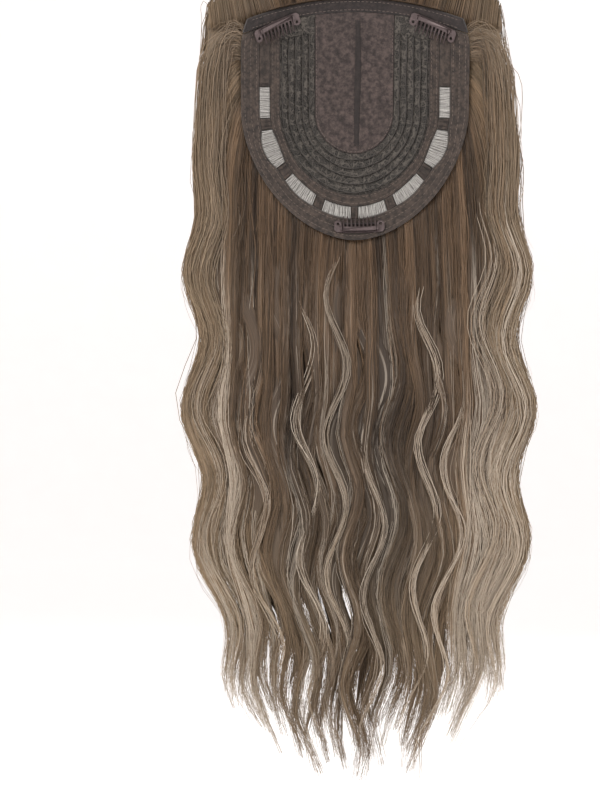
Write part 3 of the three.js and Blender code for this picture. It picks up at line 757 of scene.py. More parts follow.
def build_panel():
    half = PANEL_HALF_WIDTH - SEWN_GAP
    end_length = PANEL_LENGTH - SIDE_LENGTH - SEWN_GAP
    step, across = grid(PANEL_ROWS, 30, (0, PANEL_ROWS), (-1.0, 1.0))
    angle = 1.5 * np.clip((step - PANEL_SIDE_ROWS) / (PANEL_ROWS - PANEL_SIDE_ROWS), 0.0, 1.0)
    x = across * half * np.cos(angle)
    top = front_edge(x) - FRONT_BINDING_WIDTH - SEWN_GAP
    z = np.where(step <= PANEL_SIDE_ROWS, lerp(top, -SIDE_LENGTH, step / PANEL_SIDE_ROWS),
                 -SIDE_LENGTH - end_length * np.sin(angle))
    hem = 0.35 * smoothstep(np.abs(across), 0.9, 0.97)
    ripple = 0.1 * np.sin(z * 0.21 + x * 0.05) + 0.07 * np.sin(x * 0.35 + z * 0.08)
    new_piece("panel_cloth", slab(x, z, 0.55 + hem + ripple, -PANEL_FAR), PANEL_CLOTH, ["top_panel"])
    share, across = grid(80, 6, across=(-1.0, 1.0))
    width = SEAM_HALF_WIDTH * (0.75 + 0.25 * np.sin(np.pi * share)) * (1 + 0.08 * np.sin(share * 60.0))
    x = SEAM_X + across * width + 0.4 * np.sin(share * 5.0)
    z = lerp(-FRONT_BINDING_WIDTH - SEAM_END_GAP, -PANEL_LENGTH + SEAM_END_GAP, share)
    seam = slab(x, z, 0.95 + 0.5 * (1 - across * across), 0.85)
    new_piece("seam_tape", seam, SEAM_CLOTH, ["panel_seam"])


# Stitches
STITCH_LENGTH = 1.7
STITCH_GAP = 0.9
STITCH_RADIUS = 0.13
FRONT_SEAM_HALF_WIDTH = 66.0
STITCH_CUTS = np.array([0.0, 0.2, 0.5, 0.8, 1.0])
STITCH_LIFT = np.array([-0.2, 0.06, 0.1, 0.06, -0.2])
STITCH_TAPER = np.array([[0.5, 1.0, 1.0, 1.0, 0.5]])


def stitch_run(x, z, offset, length, gap, radius):
    """Short sunk-ended dashes along a line of the base given by many points."""
    points = on_cap(x, z, offset)
    steps = np.linalg.norm(np.diff(points, axis=0), axis=1)
    way = np.concatenate([[0.0], np.cumsum(steps)])
    starts = np.arange(0.5, way[-1] - length, length + gap)
    at = starts[:, None] + STITCH_CUTS[None, :] * length
    paths = np.stack([np.interp(at, way, points[:, axis]) for axis in range(3)], axis=-1)
    paths = paths + inward(paths[..., 0], paths[..., 2]) * STITCH_LIFT[None, :, None]
    return tubes(paths, radius * STITCH_TAPER, 5, np.zeros(len(starts)))


def build_stitches():
    share = np.linspace(0.004, 0.996, 900)
    runs = []
    for inset, height in ((1.7, 0.86), (5.4, 1.0), (9.2, 0.86)):
        place = u_point(inset - window_swell(share) * inset / RIM_WIDTH, share)
        runs.append(stitch_run(*place, height, STITCH_LENGTH, STITCH_GAP, STITCH_RADIUS))
    for inset in (1.3, 4.6):
        swell = window_swell(share) / 2 * (1 - inset / INNER_BINDING_WIDTH)
        place = u_point(INNER_BINDING_INSET + inset + swell, share)
        runs.append(stitch_run(*place, 0.82, STITCH_LENGTH, STITCH_GAP, 0.12))
    x = np.linspace(-FRONT_SEAM_HALF_WIDTH, FRONT_SEAM_HALF_WIDTH, 500)
    for drop in (1.2, 6.0):
        runs.append(stitch_run(x, front_edge(x) - drop, 1.1, 1.8, STITCH_GAP, STITCH_RADIUS))
    share = np.linspace(0.02, 0.98, 600)
    runs.append(stitch_run(*u_point(BAND_SPAN + 1.0, share), 0.9, 1.5, 0.8, 0.11))
    new_piece("band_stitches", joined(runs), STITCH_THREAD)
    across = np.linspace(0.03, 0.97, 60)
    zig = 0.0035 * (2 * np.abs((across * 7.0) % 1.0 - 0.5) - 0.5)
    zigzags = []
    for start, end in window_spans():
        for edge in (start - 0.006, end + 0.006):
            way = np.full_like(across, edge)
            inset = lerp(ring_edge(way), ring_inner_edge(way), across)
            zigzags.append(stitch_run(*u_point(inset, way + zig), 0.62, 0.9, 0.15, 0.12))
    new_piece("bridge_stitches", joined(zigzags), DARK_THREAD)


# Clips
WELD_DISTANCE = 0.00001
SHARP_ANGLE = math.radians(35)


def dressed_copy(node, name, material, body, bevel):
    """A copy of a model piece with rounded edges that takes its place."""
    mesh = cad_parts[node].data.copy()
    mesh.materials.clear()
    finish_mesh(mesh, material)
    piece = add_object(name, mesh)
    weld = piece.modifiers.new("weld", "WELD")
    weld.merge_threshold = WELD_DISTANCE
    rounding = piece.modifiers.new("rounding", "BEVEL")
    rounding.width = bevel * MM
    rounding.segments = 2
    rounding.limit_method = "ANGLE"
    rounding.angle_limit = SHARP_ANGLE
    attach(piece, body)
    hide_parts(node)


def build_clips():
    for side in ("back", "left", "right"):
        dressed_copy(f"clip_{side}_plate", f"{side}_clip_plate", STEEL, "base", 0.18)
        dressed_copy(f"clip_{side}_comb", f"{side}_clip_comb", STEEL, f"{side}_comb", 0.16)
        dressed_copy(f"clip_{side}_grip", f"{side}_clip_grip", RUBBER, "base", 0.12)


# Hair colours
DEEP_BROWN = np.array(srgb(46, 34, 24))
ROOT_BROWN = np.array(srgb(112, 89, 68))
ASH_BROWN = np.array(srgb(122, 99, 77))
SAND = np.array(srgb(160, 139, 113))
EDGE_LIGHT = 0.42
MIDDLE_DARK = 0.45


def tress_colours(along, shade, tip_light, column):
    """Linear colours from root (0) to tip (1), lighter at the sides and darker in the middle.

    along is (n, k), shade and tip_light are (n,) and column is (n, 1) or (n, k).
    """
    middle = lerp(DEEP_BROWN, ASH_BROWN, shade[:, None])[:, None, :]
    root = lerp(DEEP_BROWN, ROOT_BROWN, shade[:, None])[:, None, :]
    colour = lerp(root, middle, smoothstep(along, 0.05, 0.45)[..., None])
    lighten = (smoothstep(along, 0.5, 1.0) * tip_light[:, None])[..., None]
    colour = lerp(colour, SAND, lighten)
    off_middle = np.abs(column)
    colour = lerp(colour, SAND, EDGE_LIGHT * smoothstep(off_middle, 0.68, 1.0)[..., None])
    centred = (1 - smoothstep(off_middle, 0.25, 0.65)) * smoothstep(along, 0.3, 0.5)
    return colour * (1 - MIDDLE_DARK * centred * (1 - smoothstep(along, 0.75, 1.0)))[..., None]


def paint(piece, colours, flow, pale):
    """Stores each point's linear colour, its place across and along its hair, and how pale it may be."""
    tint = piece.data.color_attributes.new("tint", "FLOAT_COLOR", "POINT")
    full = np.ones((len(colours), 4), dtype=np.float32)
    full[:, :3] = colours
    tint.data.foreach_set("color", full.ravel())
    rows = [("flow", "FLOAT_VECTOR", "vector", flow), ("pale", "FLOAT", "value", pale)]
    for name, kind, key, values in rows:
        attribute = piece.data.attributes.new(name, kind, "POINT")
        attribute.data.foreach_set(key, np.asarray(values, dtype=np.float32).ravel())


# Tresses: narrow wavy locks, each with its own small differences
CLUMPING = 0.12
ROOT_SPREAD = 0.62


def root_share(column):
    """The share of the way round the rim at which the hair of a column grows."""
    roots, columns = zip(RIM_CENTRE, *[row[:2] for row in reversed(RIM_LOCKS)])
    way = np.interp(np.abs(column), columns, roots)
    return np.where(column < 0, way, 1 - way)


def make_tresses(bounds, each):
    """Splits wide locks, given as left, right and fall, into tresses: one dictionary of arrays."""
    left, right, fall = [], [], []
    for low, high, length in bounds:
        cuts = np.linspace(low, high, each + 1)
        cuts[1:-1] += rng.uniform(-0.2, 0.2, each - 1) * (high - low) / each
        left.extend(cuts[:-1])
        right.extend(cuts[1:])
        fall.extend(length * rng.uniform(0.96, 1.0, each))
    left, right = np.array(left), np.array(right)
    column = (left + right) / 2
    count = len(column)
    inner = 1 - smoothstep(np.abs(column), 0.72, 0.95)
    return {
        "column": column,
        "half": (right - left) / 2,
        "fall": np.array(fall),
        "shift": inner * (0.55 * np.sin(7.3 * column + 0.8) + rng.normal(0.0, 0.28, count)),
        "gain": lerp(1.0, rng.uniform(0.3, 1.0, count), 0.25 + 0.75 * inner),
        "stretch": 1 + inner * rng.uniform(-0.07, 0.08, count),
        "late": inner * rng.uniform(60.0, 140.0, count),
        "depth": rng.uniform(0.0, 1.0, count),
        "shade": rng.uniform(0.2, 0.95, count),
        "seed": rng.uniform(0.0, 900.0, count),
    }


def some_tresses(tresses, pick):
    return {key: values[pick] for key, values in tresses.items()}


def tress_x(tresses, column, z):
    """The x of a column line that waves as its tress does."""
    turns = (-z - WAVE_CREST) / (WAVE_LENGTH * tresses["stretch"][:, None])
    angle = 2 * np.pi * turns + np.pi * (1 - column) / 2 + tresses["shift"][:, None]
    start = WAVE_START + tresses["late"][:, None]
    size = smoothstep(-z, start, start + WAVE_LENGTH * 1.2)
    swing = tresses["gain"][:, None] * WAVE_AMPLITUDE * size * np.cos(angle)
    return np.abs(column) * hair_edge(z, column) + swing


def clumped(tresses, column, z):
    """Columns drawn towards their tress's middle near the tips, (n, k)."""
    keep = 1 - CLUMPING * smoothstep(-z, 260.0, 480.0)
    middle = tresses["column"][:, None]
    return middle + (column[:, None] - middle) * keep


def rim_place(tresses, column, z, root_x, root_z):
    """The x and near side of rim hair at heights, for columns inside their tresses."""
    way = np.clip((root_z[:, None] - z) / RIM_HAIR_REACH, 0.0, 1.0)
    line = clumped(tresses, column, z)
    x = lerp(root_x[:, None], tress_x(tresses, line, z), np.sin(np.pi * way ** ROOT_SPREAD / 2))
    return x, rim_hair_near(x, z) + wave_y(line, z, tresses["shift"][:, None])


# Strands
STRAND_SIDES = 3
RIM_STRANDS_PER_TRESS = 68
RIM_STRAND_STEPS = 25
CROWN_STRANDS_PER_TRESS = 38
CROWN_FALL_STEPS = 20
SIDE_STRANDS = 320
PALE_STRANDS_PER_LOCK = 15
FLYAWAYS = 200
WISP_COUNT = 64
TIP_SPREAD = 52.0
LOWEST_TIP = -505.0
STRAY_SHARE = 0.12
STRAY_GAIN = 2.8


def make_wisps():
    """Narrow ranges of columns whose strands are pale: middle, half width, strength and start."""
    middle = rng.uniform(-1.0, 1.0, WISP_COUNT)
    extra = WISP_COUNT // 3
    middle[:extra] = np.where(rng.uniform(0, 1, extra) < 0.66, rng.uniform(0.6, 1.0, extra),
                              rng.uniform(-1.0, -0.75, extra))
    half = rng.uniform(0.003, 0.012, WISP_COUNT) * (1 + 0.6 * smoothstep(np.abs(middle), 0.5, 0.7))
    strength = rng.uniform(0.1, 0.5, WISP_COUNT) + 0.3 * smoothstep(np.abs(middle), 0.45, 0.75)
    return list(zip(middle, half, strength, rng.uniform(120.0, 330.0, WISP_COUNT)))


def pale_share(wisps, column, z):
    """How pale strands are at each of their points."""
    best = np.zeros_like(z)
    for middle, half, strength, start in wisps:
        inside = np.abs(column - middle) < half
        grown = smoothstep(-z[inside], start, start + 60.0)
        best[inside] = np.maximum(best[inside], strength * grown)
    return best


def frizz(count, steps, size):
    """Slow random wander of strands, (n, k)."""
    t = shares(steps)
    total = np.zeros((count, steps))
    for turns in (1.3, 2.9, 5.7):
        phase = rng.uniform(0, 2 * np.pi, (count, 1))
        rate = turns * rng.uniform(0.8, 1.25, (count, 1))
        total += np.sin(2 * np.pi * rate * t + phase) * rng.normal(0, size / turns ** 0.6, (count, 1))
    return total * smoothstep(t, 0.0, 0.25)


def wander(count, steps):
    stray = np.where(rng.uniform(0, 1, count) < STRAY_SHARE, STRAY_GAIN, 1.0)[:, None]
    return frizz(count, steps, 1.0) * stray


def pick_strands(tresses, each):
    """The tresses' values repeated for their strands, and each strand's own column."""
    count = len(tresses["column"])
    field = some_tresses(tresses, np.repeat(np.arange(count), each))
    side = rng.uniform(-1.12, 1.12, count * each)
    column = np.clip(field["column"] + side * field["half"], -1.0, 1.0)
    field["shift"] = field["shift"] + rng.normal(0, 0.13, count * each)
    field["gain"] = field["gain"] * rng.uniform(0.88, 1.12, count * each)
    field["tip_z"] = -HAIR_FALL * field["fall"] + TIP_SPREAD * rng.uniform(0, 1, count * each) ** 2.2
    return field, column


def rim_strand_paths(field, column):
    """Paths that leave the rim outwards, fall and wave: (n, k, 3)."""
    count = len(column)
    root_x, root_z = u_point(rng.uniform(1.0, 9.0, count), root_share(column))
    z = lerp(root_z[:, None], field["tip_z"][:, None], shares(RIM_STRAND_STEPS) ** 1.25)
    x, near = rim_place(field, column, z, root_x, root_z)
    x = x + wander(count, RIM_STRAND_STEPS)
    room = rim_hair_room(root_z[:, None] - z, RIM_ROOT_THICKNESS * 0.5, RIM_HAIR_THICKNESS * 0.8)
    layer = 0.55 * field["depth"][:, None] + 0.45 * rng.uniform(0, 1, (count, 1))
    return np.stack([x, near + room * layer - 0.5, z], axis=-1)


# The crown hair's cover, which rises over the front edge and comes down behind the base
COVER_ROOT_X = (62.0, 92.0)
COVER_TOP_SHARE = (0.78, 0.96)
COVER_HEADROOM = 0.3
RISE_SHARES = np.array([[0.02, 0.25, 0.5, 0.75, 0.93]])
FALL_SHARES = np.array([[0.93, 0.75, 0.5, 0.2]])
HANG_LEVELS = np.array([[-0.15, -0.5]]) * HAIR_ARCH
CROWN_START = -38.0
CROWN_STEP = 9.0
FAR_LAYERS = (0.94, 1.02)


def lip_near(x):
    """The near side of the crown hair where it rises over the front edge."""
    lip_x = np.minimum(np.abs(x), FRONT_CLIP_X)
    rooted = cap_height(lip_x, front_edge(lip_x)) - 3.0
    return lerp(rooted, CROWN_INNER, smoothstep(np.abs(x), FRONT_CLIP_X, ARCH_HALF_WIDTH))


def cover_rise(height):
    return np.sqrt(1 - np.clip(height / HAIR_ARCH, 0.0, 1.0) ** 2)


def cover_flat(column, height):
    """The x of a column of the cover at a height above or below the front edge."""
    return np.where(height > 0, ARCH_HALF_WIDTH * cover_rise(height) * column, column_x(column, height))


def cover_z(x, height):
    """The cover's z at a height above the front edge: its low parts follow that edge."""
    fade = np.where(height > 0, 1 - height / HAIR_ARCH, 1 - smoothstep(-height, 8.0, SIDE_LENGTH))
    return height + front_edge(x) * fade


def cover_near(x, height):
    return lerp(HAIR_ARCH / 3, lip_near(x), cover_rise(height))


def cover_far(column, height):
    ridges = 0.9 * np.cos(np.pi * 10 * column) - 3.2
    return crown_far(column, height) * lerp(0.62, 1.0, cover_rise(height)) + ridges


def cover_paths(column, lift):
    """Paths up the near side of the cover, over its top edge and down its far side: (n, k, 3)."""
    column, lift = column[:, None], lift[:, None]
    outer = smoothstep(np.abs(column), 0.75, 1.0)
    root_x = column * lerp(*COVER_ROOT_X, outer)
    top_x = ARCH_HALF_WIDTH * column * lerp(*COVER_TOP_SHARE, outer)
    top_height = HAIR_ARCH * np.sqrt(1 - (top_x / ARCH_HALF_WIDTH) ** 2)
    height = RISE_SHARES * top_height
    x = lerp(root_x, top_x, RISE_SHARES)
    rising = np.stack([x, cover_near(x, height) - lift, cover_z(x, height)], axis=-1)
    height = FALL_SHARES * top_height
    x = lerp(column_x(column, HANG_LEVELS[0, 0] + 0 * column), top_x, FALL_SHARES)
    across = np.clip(x / (ARCH_HALF_WIDTH * cover_rise(height)), -1.0, 1.0)
    falling = np.stack([x, cover_far(across, height) + lift, cover_z(x, height)], axis=-1)
    top = (rising[:, -1:] + falling[:, :1]) / 2
    top[..., 2] = np.minimum(cover_z(top_x, top_height) + lift, HAIR_ARCH - COVER_HEADROOM)
    height = HANG_LEVELS + 0 * column
    x = column_x(column, height)
    hanging = np.stack([x, cover_far(column, height) + lift, cover_z(x, height)], axis=-1)
    return np.concatenate([rising, top, falling, hanging], axis=1)


def crown_layers(column):
    """How deep strands hang in the crown hair: 0 near side, 1 far side, with most on its outsides."""
    count = len(column)
    pick = rng.uniform(0, 1, count)
    layer = rng.uniform(0, 1, count)
    near_part = lerp(0.15, 0.4, smoothstep(np.abs(column), 0.6, 0.8))
    layer = np.where(pick < near_part, 0.06 * layer, layer)
    return np.where(pick > 0.5, lerp(*FAR_LAYERS, layer), layer)


def crown_strand_paths(field, column):
    """Paths that rise from the front edge, arch over and fall behind the base: (n, k, 3)."""
    count = len(column)
    layer = crown_layers(column)[:, None]
    arch = cover_paths(column, rng.uniform(0.2, 1.3, count))
    top = np.minimum(CROWN_START, arch[:, -1, 2] - CROWN_STEP)
    z = lerp(top[:, None], field["tip_z"][:, None], shares(CROWN_FALL_STEPS))
    line = clumped(field, column, z)
    x = tress_x(field, line, z)
    near = crown_near(x, z)
    far = np.maximum(crown_far(line, z), near + 3.0)
    y = lerp(near, far, lerp(-0.03, 0.96, layer)) + wave_y(line, z, field["shift"][:, None])
    paths = np.concatenate([arch, np.stack([x, y, z], axis=-1)], axis=1)
    paths[..., 0] += wander(count, paths.shape[1])
    return paths


def strand_piece(name, paths, radius, colours, pale):
    count, steps = paths.shape[:2]
    taper = 1 - 0.65 * smoothstep(shares(steps), 0.78, 1.0)
    strands = tubes(paths, radius[:, None] * taper, STRAND_SIDES, rng.uniform(0, 6.28, count))
    piece = new_piece(name, strands, STRAND_HAIR)
    seed = rng.uniform(0, 5000, (count, 1))
    flow = np.stack([seed + 0 * paths[..., 2], paths[..., 2], 0 * paths[..., 2]], axis=-1)
    pale = pale * np.ones((1, steps))
    paint(piece, *[np.repeat(values, STRAND_SIDES, axis=0)
                   for values in (colours.reshape(-1, 3), flow.reshape(-1, 3), pale.ravel())])


def streaks(column):
    """Light and dark streaks across the hair, which neighbouring strands share: -1 to 1."""
    waves = [(23.0, 0.4, 0.3), (57.0, 1.9, 0.32), (101.0, 4.4, 0.24), (173.0, 2.6, 0.2)]
    return sum(size * np.sin(rate * column + phase) for rate, phase, size in waves)


def strand_shades(shade, column, steps):
    count = len(column)
    shade = 0.5 * shade + 0.23 + 0.6 * streaks(column) + rng.normal(0, 0.14, count)
    tip_light = np.clip(0.35 + 0.45 * np.abs(column) + rng.normal(0, 0.22, count), 0.0, 1.0)
    along = shares(steps) * np.ones((count, 1))
    return tress_colours(along, np.clip(shade, 0.0, 1.0), tip_light, column[:, None])


def build_strands(name, tresses, wisps, pieces, each, make_paths, radii):
    """The strands of the rim's or the crown's tresses, in pieces from left to right."""
    for number, group in enumerate(np.array_split(np.arange(len(tresses["column"])), pieces)):
        field, column = pick_strands(some_tresses(tresses, group), each)
        paths = make_paths(field, column)
        colours = strand_shades(field["shade"], column, paths.shape[1])
        pale = pale_share(wisps, column, paths[..., 2])
        radius = rng.uniform(*radii, len(column))
        strand_piece(f"{name}_strands_{number + 1}", paths, radius, colours, pale)


def bezier(corners, s):
    """Points of cubic curves given by four corners, each (n, dimensions), at the shares s, (1, k, 1)."""
    weights = [(1 - s) ** 3, 3 * s * (1 - s) ** 2, 3 * s * s * (1 - s), s ** 3]
    return sum(weight * corner[:, None] for weight, corner in zip(weights, corners))


def build_side_strands():
    """Strands that fan out from the base's front corners, arc over and fall beside it."""
    arch_steps, fall_steps, count = 9, 12, SIDE_STRANDS
    side = np.repeat([-1.0, 1.0], count // 2)
    share = rng.uniform(0.0, 0.07, count)
    root_x, root_z = u_point(rng.uniform(0.5, 5.0, count), np.where(side < 0, share, 1 - share))
    column = side * rng.uniform(0.8, 1.0, count)
    arch_end = -rng.uniform(60.0, 90.0, count)
    end_x = column_x(column, arch_end)
    rise = rng.uniform(2.0, 20.0, count) * (1 - share / 0.09)
    corners = [
        np.stack([root_x, root_z], axis=-1),
        np.stack([lerp(root_x, end_x, 0.5), root_z + 1.1 * rise], axis=-1),
        np.stack([end_x, root_z + 0.6 * rise - 4.0], axis=-1),
        np.stack([end_x, arch_end], axis=-1),
    ]
    arch = bezier(corners, shares(arch_steps)[..., None])
    tip_z = arch_end[:, None] - rng.uniform(60.0, 240.0, (count, 1))
    fall_z = lerp(arch_end[:, None], tip_z, shares(fall_steps + 1)[:, 1:])
    x = np.concatenate([arch[..., 0], column_x(column[:, None], fall_z)], axis=1)
    z = np.concatenate([arch[..., 1], fall_z], axis=1)
    lifted = np.minimum(lip_near(x) - rng.uniform(0.6, 2.4, (count, 1)), cap_height(root_x, root_z)[:, None])
    hanging = rim_hair_near(x, z) + rng.uniform(-0.5, 4.0, (count, 1))
    y = lerp(lifted, hanging, smoothstep(-z, 25.0, 70.0))
    x = x + wander(count, arch_steps + fall_steps)
    paths = np.stack([x, y + wave_y(column[:, None], z), z], axis=-1)
    colours = strand_shades(rng.uniform(0.0, 0.8, count), column, arch_steps + fall_steps)
    pale = rng.uniform(0, 0.16, (count, 1))
    strand_piece("side_strands", paths, rng.uniform(0.13, 0.24, count), colours, pale)


def build_pale_locks():
    """Narrow pale locks that lie on the front of the rim hair."""
    steps, each = 34, PALE_STRANDS_PER_LOCK
    t = shares(steps)
    parts = []
    for middle, start, end, half, shift in PALE_LOCKS:
        top = -start + rng.uniform(-25, 15, (each, 1))
        tip = -end + rng.uniform(-8, 45, (each, 1))
        z = lerp(top, tip, t)
        column = middle + 0 * z
        narrow = np.sin(np.pi * np.clip(0.12 + t, 0.0, 1.0)) * (1 + 0.3 * np.sin(9 * t)) + 0.2
        side = rng.normal(0, 0.42, (each, 1)) * half * narrow
        x = column_x(column, z, shift, 1.0) + side + frizz(each, steps, 1.1)
        rise = smoothstep(t, 0.0, 0.15) * smoothstep(1 - t, 0.0, 0.1)
        y = rim_hair_near(x, z) + lerp(4.5, -0.7, rise) + rng.uniform(0, 1.2, (each, 1))
        parts.append(np.stack([x, y + wave_y(column, z, shift), z], axis=-1))
    paths = np.concatenate(parts)
    count = len(paths)
    along = np.linspace(0.3, 1.0, steps)[None, :] * np.ones((count, 1))
    column = np.repeat([row[0] for row in PALE_LOCKS], each)[:, None]
    colours = tress_colours(along, np.full(count, 0.9), np.full(count, 0.8), column)
    pale = rng.uniform(0.1, 0.75, (count, 1))
    strand_piece("pale_locks", paths, rng.uniform(0.14, 0.24, count), colours, pale)


def build_flyaways():
    """Loose single hairs beside the locks."""
    steps, count = 24, FLYAWAYS
    side = np.sign(rng.uniform(-1, 1, count))
    column = (side * rng.uniform(0.5, 1.0, count) ** 0.5)[:, None]
    t = shares(steps)
    top = -rng.uniform(20, 300, count)[:, None]
    tip = np.maximum(top - rng.uniform(90, 240, count)[:, None], LOWEST_TIP)
    z = lerp(top, tip, t)
    out = 3.5 * side[:, None] * np.sin(np.pi * t) * rng.uniform(0, 1, (count, 1))
    x = column_x(column + 0 * z, z, rng.normal(0, 0.5, (count, 1)), 1.1) + out + frizz(count, steps, 1.6)
    y = rim_hair_near(x, z) + rng.uniform(0.0, 22.0, (count, 1))
    paths = np.stack([x, y, z], axis=-1)
    shade = rng.uniform(0.3, 1.0, count)
    colours = tress_colours(t * np.ones((count, 1)), shade, np.full(count, 0.5), column)
    pale = rng.uniform(0, 0.5, (count, 1))
    strand_piece("flyaway_hairs", paths, rng.uniform(0.08, 0.13, count), colours, pale)


# Hair bodies under the strands
BODY_SIDES = 12
BODY_ANGLES = 2 * np.pi * np.arange(BODY_SIDES) / BODY_SIDES
BODY_ROOT_INSET = 2.0
BODY_FALL = 0.95
RIM_BODY_FALL = 0.88
CROWN_BODY_TOP = -190.0
COVER_BOTTOM = -300.0
TRESS_TAPER = 90.0
LOCK_TAPER = 110.0
RIM_TRESS_GRAIN = 12.0
CROWN_TRESS_GRAIN = 16.0
RIM_LOCK_GRAIN = 40.0
COVER_GRAIN = 100.0


def lock_rings(middle, half, z, near, thickness):
    """Flat oval rings: the inputs are (n, k), the result (n, k, sides, 3)."""
    cosine = np.cos(BODY_ANGLES)
    x = middle[..., None] + half[..., None] * np.sign(cosine) * np.abs(cosine) ** 0.75
    y = (near + thickness / 2)[..., None] + thickness[..., None] / 2 * np.sin(BODY_ANGLES)
    return np.stack([x, y, z[..., None] + 0 * BODY_ANGLES], axis=-1)


def tip_share(z, tip_z, taper):
    left = np.clip((z - tip_z) / taper, 0.0, 1.0)
    return 0.06 + 0.94 * np.sin(np.pi * left / 2)


def lock_bodies(name, rings, column, grain, shade, seed, darker, replaced=()):
    """One piece of lock bodies that are coloured and streaked along their length: grain is how wide each
    one is in the streaks' noise; a factor darkens their colours as painted shade under the strands."""
    count, steps = rings.shape[:2]
    geometry = (rings.reshape(-1, 3), tube_faces(count, steps, BODY_SIDES))
    piece = new_piece(name, geometry, BODY_HAIR, replaced)
    along = np.clip(-rings[:, :, 0, 2] / HAIR_FALL, 0.0, 1.0)
    # Painted shade: the bodies' colours are scaled down because they lie in shade under the strands
    colours = tress_colours(along, shade, np.full(count, 0.6), column[:, None]) * darker
    across = seed[:, None, None] + grain / 2 * np.cos(BODY_ANGLES) * np.ones((count, steps, 1))
    flow = np.stack([across, rings[..., 2], np.sin(BODY_ANGLES) * np.ones_like(across)], axis=-1)
    paint(piece, np.repeat(colours.reshape(-1, 3), BODY_SIDES, axis=0), flow,
          0.4 * smoothstep(-rings[..., 2], 120.0, 300.0))


def tress_edges(tresses, widen):
    """The columns at the left and right sides of tresses."""
    return [np.clip(tresses["column"] + side * tresses["half"] * widen, -1.0, 1.0) for side in (-1, 1)]


def tress_heights(tresses, top, steps):
    """Heights down to the tresses' tips, and the share of its width that a body has there."""
    tip_z = (-HAIR_FALL * tresses["fall"] * BODY_FALL)[:, None]
    z = lerp(top, tip_z, shares(steps))
    return z, tip_share(z, tip_z, TRESS_TAPER)


def rim_tress_bodies(tresses):
    """Slim bodies of the rim tresses in two depths."""
    _, root_z = u_point(BODY_ROOT_INSET, root_share(tresses["column"]))
    z, share = tress_heights(tresses, root_z[:, None] + 2.0, 46)
    (left, left_near), (right, right_near) = [
        rim_place(tresses, column, z, u_point(BODY_ROOT_INSET, root_share(column))[0], root_z)
        for column in tress_edges(tresses, 1.2)]
    ripple = 1 + 0.16 * np.sin(z / 31.0 + tresses["seed"][:, None])
    half = np.maximum(np.abs(right - left) / 2, 3.0) * share * ripple
    room = rim_hair_room(root_z[:, None] - z, RIM_ROOT_THICKNESS, RIM_HAIR_THICKNESS)
    thickness = room * 0.55 * share
    near = np.maximum(left_near, right_near) + (room - thickness) * tresses["depth"][:, None]
    rings = lock_rings((left + right) / 2, half, z, near, thickness)
    # 0.86 darkens these bodies as painted shade under the strands
    lock_bodies("rim_tress_bodies", rings, tresses["column"], RIM_TRESS_GRAIN, tresses["shade"],
                tresses["seed"], 0.86)


def crown_tress_bodies(tresses):
    """Bodies of the crown tresses below the cover."""
    z, share = tress_heights(tresses, CROWN_BODY_TOP, 44)
    left, right = [tress_x(tresses, clumped(tresses, column, z), z) for column in tress_edges(tresses, 1.3)]
    line = tresses["column"][:, None] + 0 * z
    room = crown_far(line, z) - CROWN_INNER
    thickness = room * 0.5 * share * (0.15 + 0.85 * smoothstep(shares(z.shape[1]), 0.0, 0.3))
    near = CROWN_INNER + (room - thickness) * tresses["depth"][:, None] + wave_y(line, z)
    rings = lock_rings((left + right) / 2, np.abs(right - left) / 2 * share, z, near, thickness)
    # 0.8 darkens these bodies as painted shade under the strands
    lock_bodies("crown_tress_bodies", rings, tresses["column"], CROWN_TRESS_GRAIN, tresses["shade"],
                tresses["seed"], 0.8)


def rim_bounds():
    edges = [column for _, column, _ in RIM_LOCKS] + [0.0]
    falls = [fall for _, _, fall in RIM_LOCKS]
    left = [(-outer, -inner, fall) for outer, inner, fall in zip(edges, edges[1:], falls)]
    return left + [(-inner, -outer, fall) for outer, inner, fall in reversed(left)]


def crown_bounds():
    edges = [column for column, _ in CROWN_LOCKS] + [1.0]
    return [(left, right, fall) for left, right, (_, fall) in zip(edges, edges[1:], CROWN_LOCKS)]


def rim_lock_rings(outer, inner, fall):
    """The rings of one wide rim lock between two sides, each a root and a column: (k, sides, 3)."""
    side = np.sign(outer[1] + inner[1])
    (outer_root_x, outer_root_z), (inner_root_x, inner_root_z) = [
        u_point(BODY_ROOT_INSET, root) for root, _ in (outer, inner)]

    def line(column, root_x, root_z, z):
        way = np.clip((root_z - z) / RIM_HAIR_REACH, 0.0, 1.0)
        return lerp(root_x, column_x(column + 0 * z, z), np.sin(np.pi * way / 2))

    tip_z = -fall * HAIR_FALL * RIM_BODY_FALL
    z = np.linspace(outer_root_z + 6.0, tip_z, 60)
    outer_x = line(outer[1], outer_root_x, outer_root_z, np.minimum(z, outer_root_z))
    rim_x = side * outline_half_width(z) * 0.93
    central = side * np.minimum(side * rim_x, side * inner_root_x)
    inner_x = np.where(z > inner_root_z, central, line(inner[1], inner_root_x, inner_root_z, z))
    room = rim_hair_room(z[0] - z, RIM_ROOT_THICKNESS, RIM_HAIR_THICKNESS)
    share = tip_share(z, tip_z, LOCK_TAPER)
    thickness = room * share * 0.6
    column = (outer[1] + inner[1]) / 2 + 0 * z
    near = np.maximum(rim_hair_near(outer_x, z), rim_hair_near(inner_x, z)) + wave_y(column, z)
    half = np.abs(outer_x - inner_x) / 2 * share * 0.97
    return lock_rings((outer_x + inner_x) / 2, half, z, near + (room - thickness) * 0.8, thickness)


def build_rim_body():
    edges = [row[:2] for row in RIM_LOCKS] + [RIM_CENTRE]
    falls = [fall for _, _, fall in RIM_LOCKS]
    rings, columns = [], []
    for side in (-1, 1):
        sided = [(root if side < 0 else 1 - root, side * column) for root, column in edges]
        for outer, inner, fall in zip(sided, sided[1:], falls):
            rings.append(rim_lock_rings(outer, inner, fall))
            columns.append((outer[1] + inner[1]) / 2)
    count = len(rings)
    # 0.72 darkens the wide locks as painted shade under the tresses and strands
    lock_bodies("rim_hair_body", np.array(rings), np.array(columns), RIM_LOCK_GRAIN,
                rng.uniform(0.25, 0.6, count), rng.uniform(0, 900, count), 0.72, ["rim_hair"])


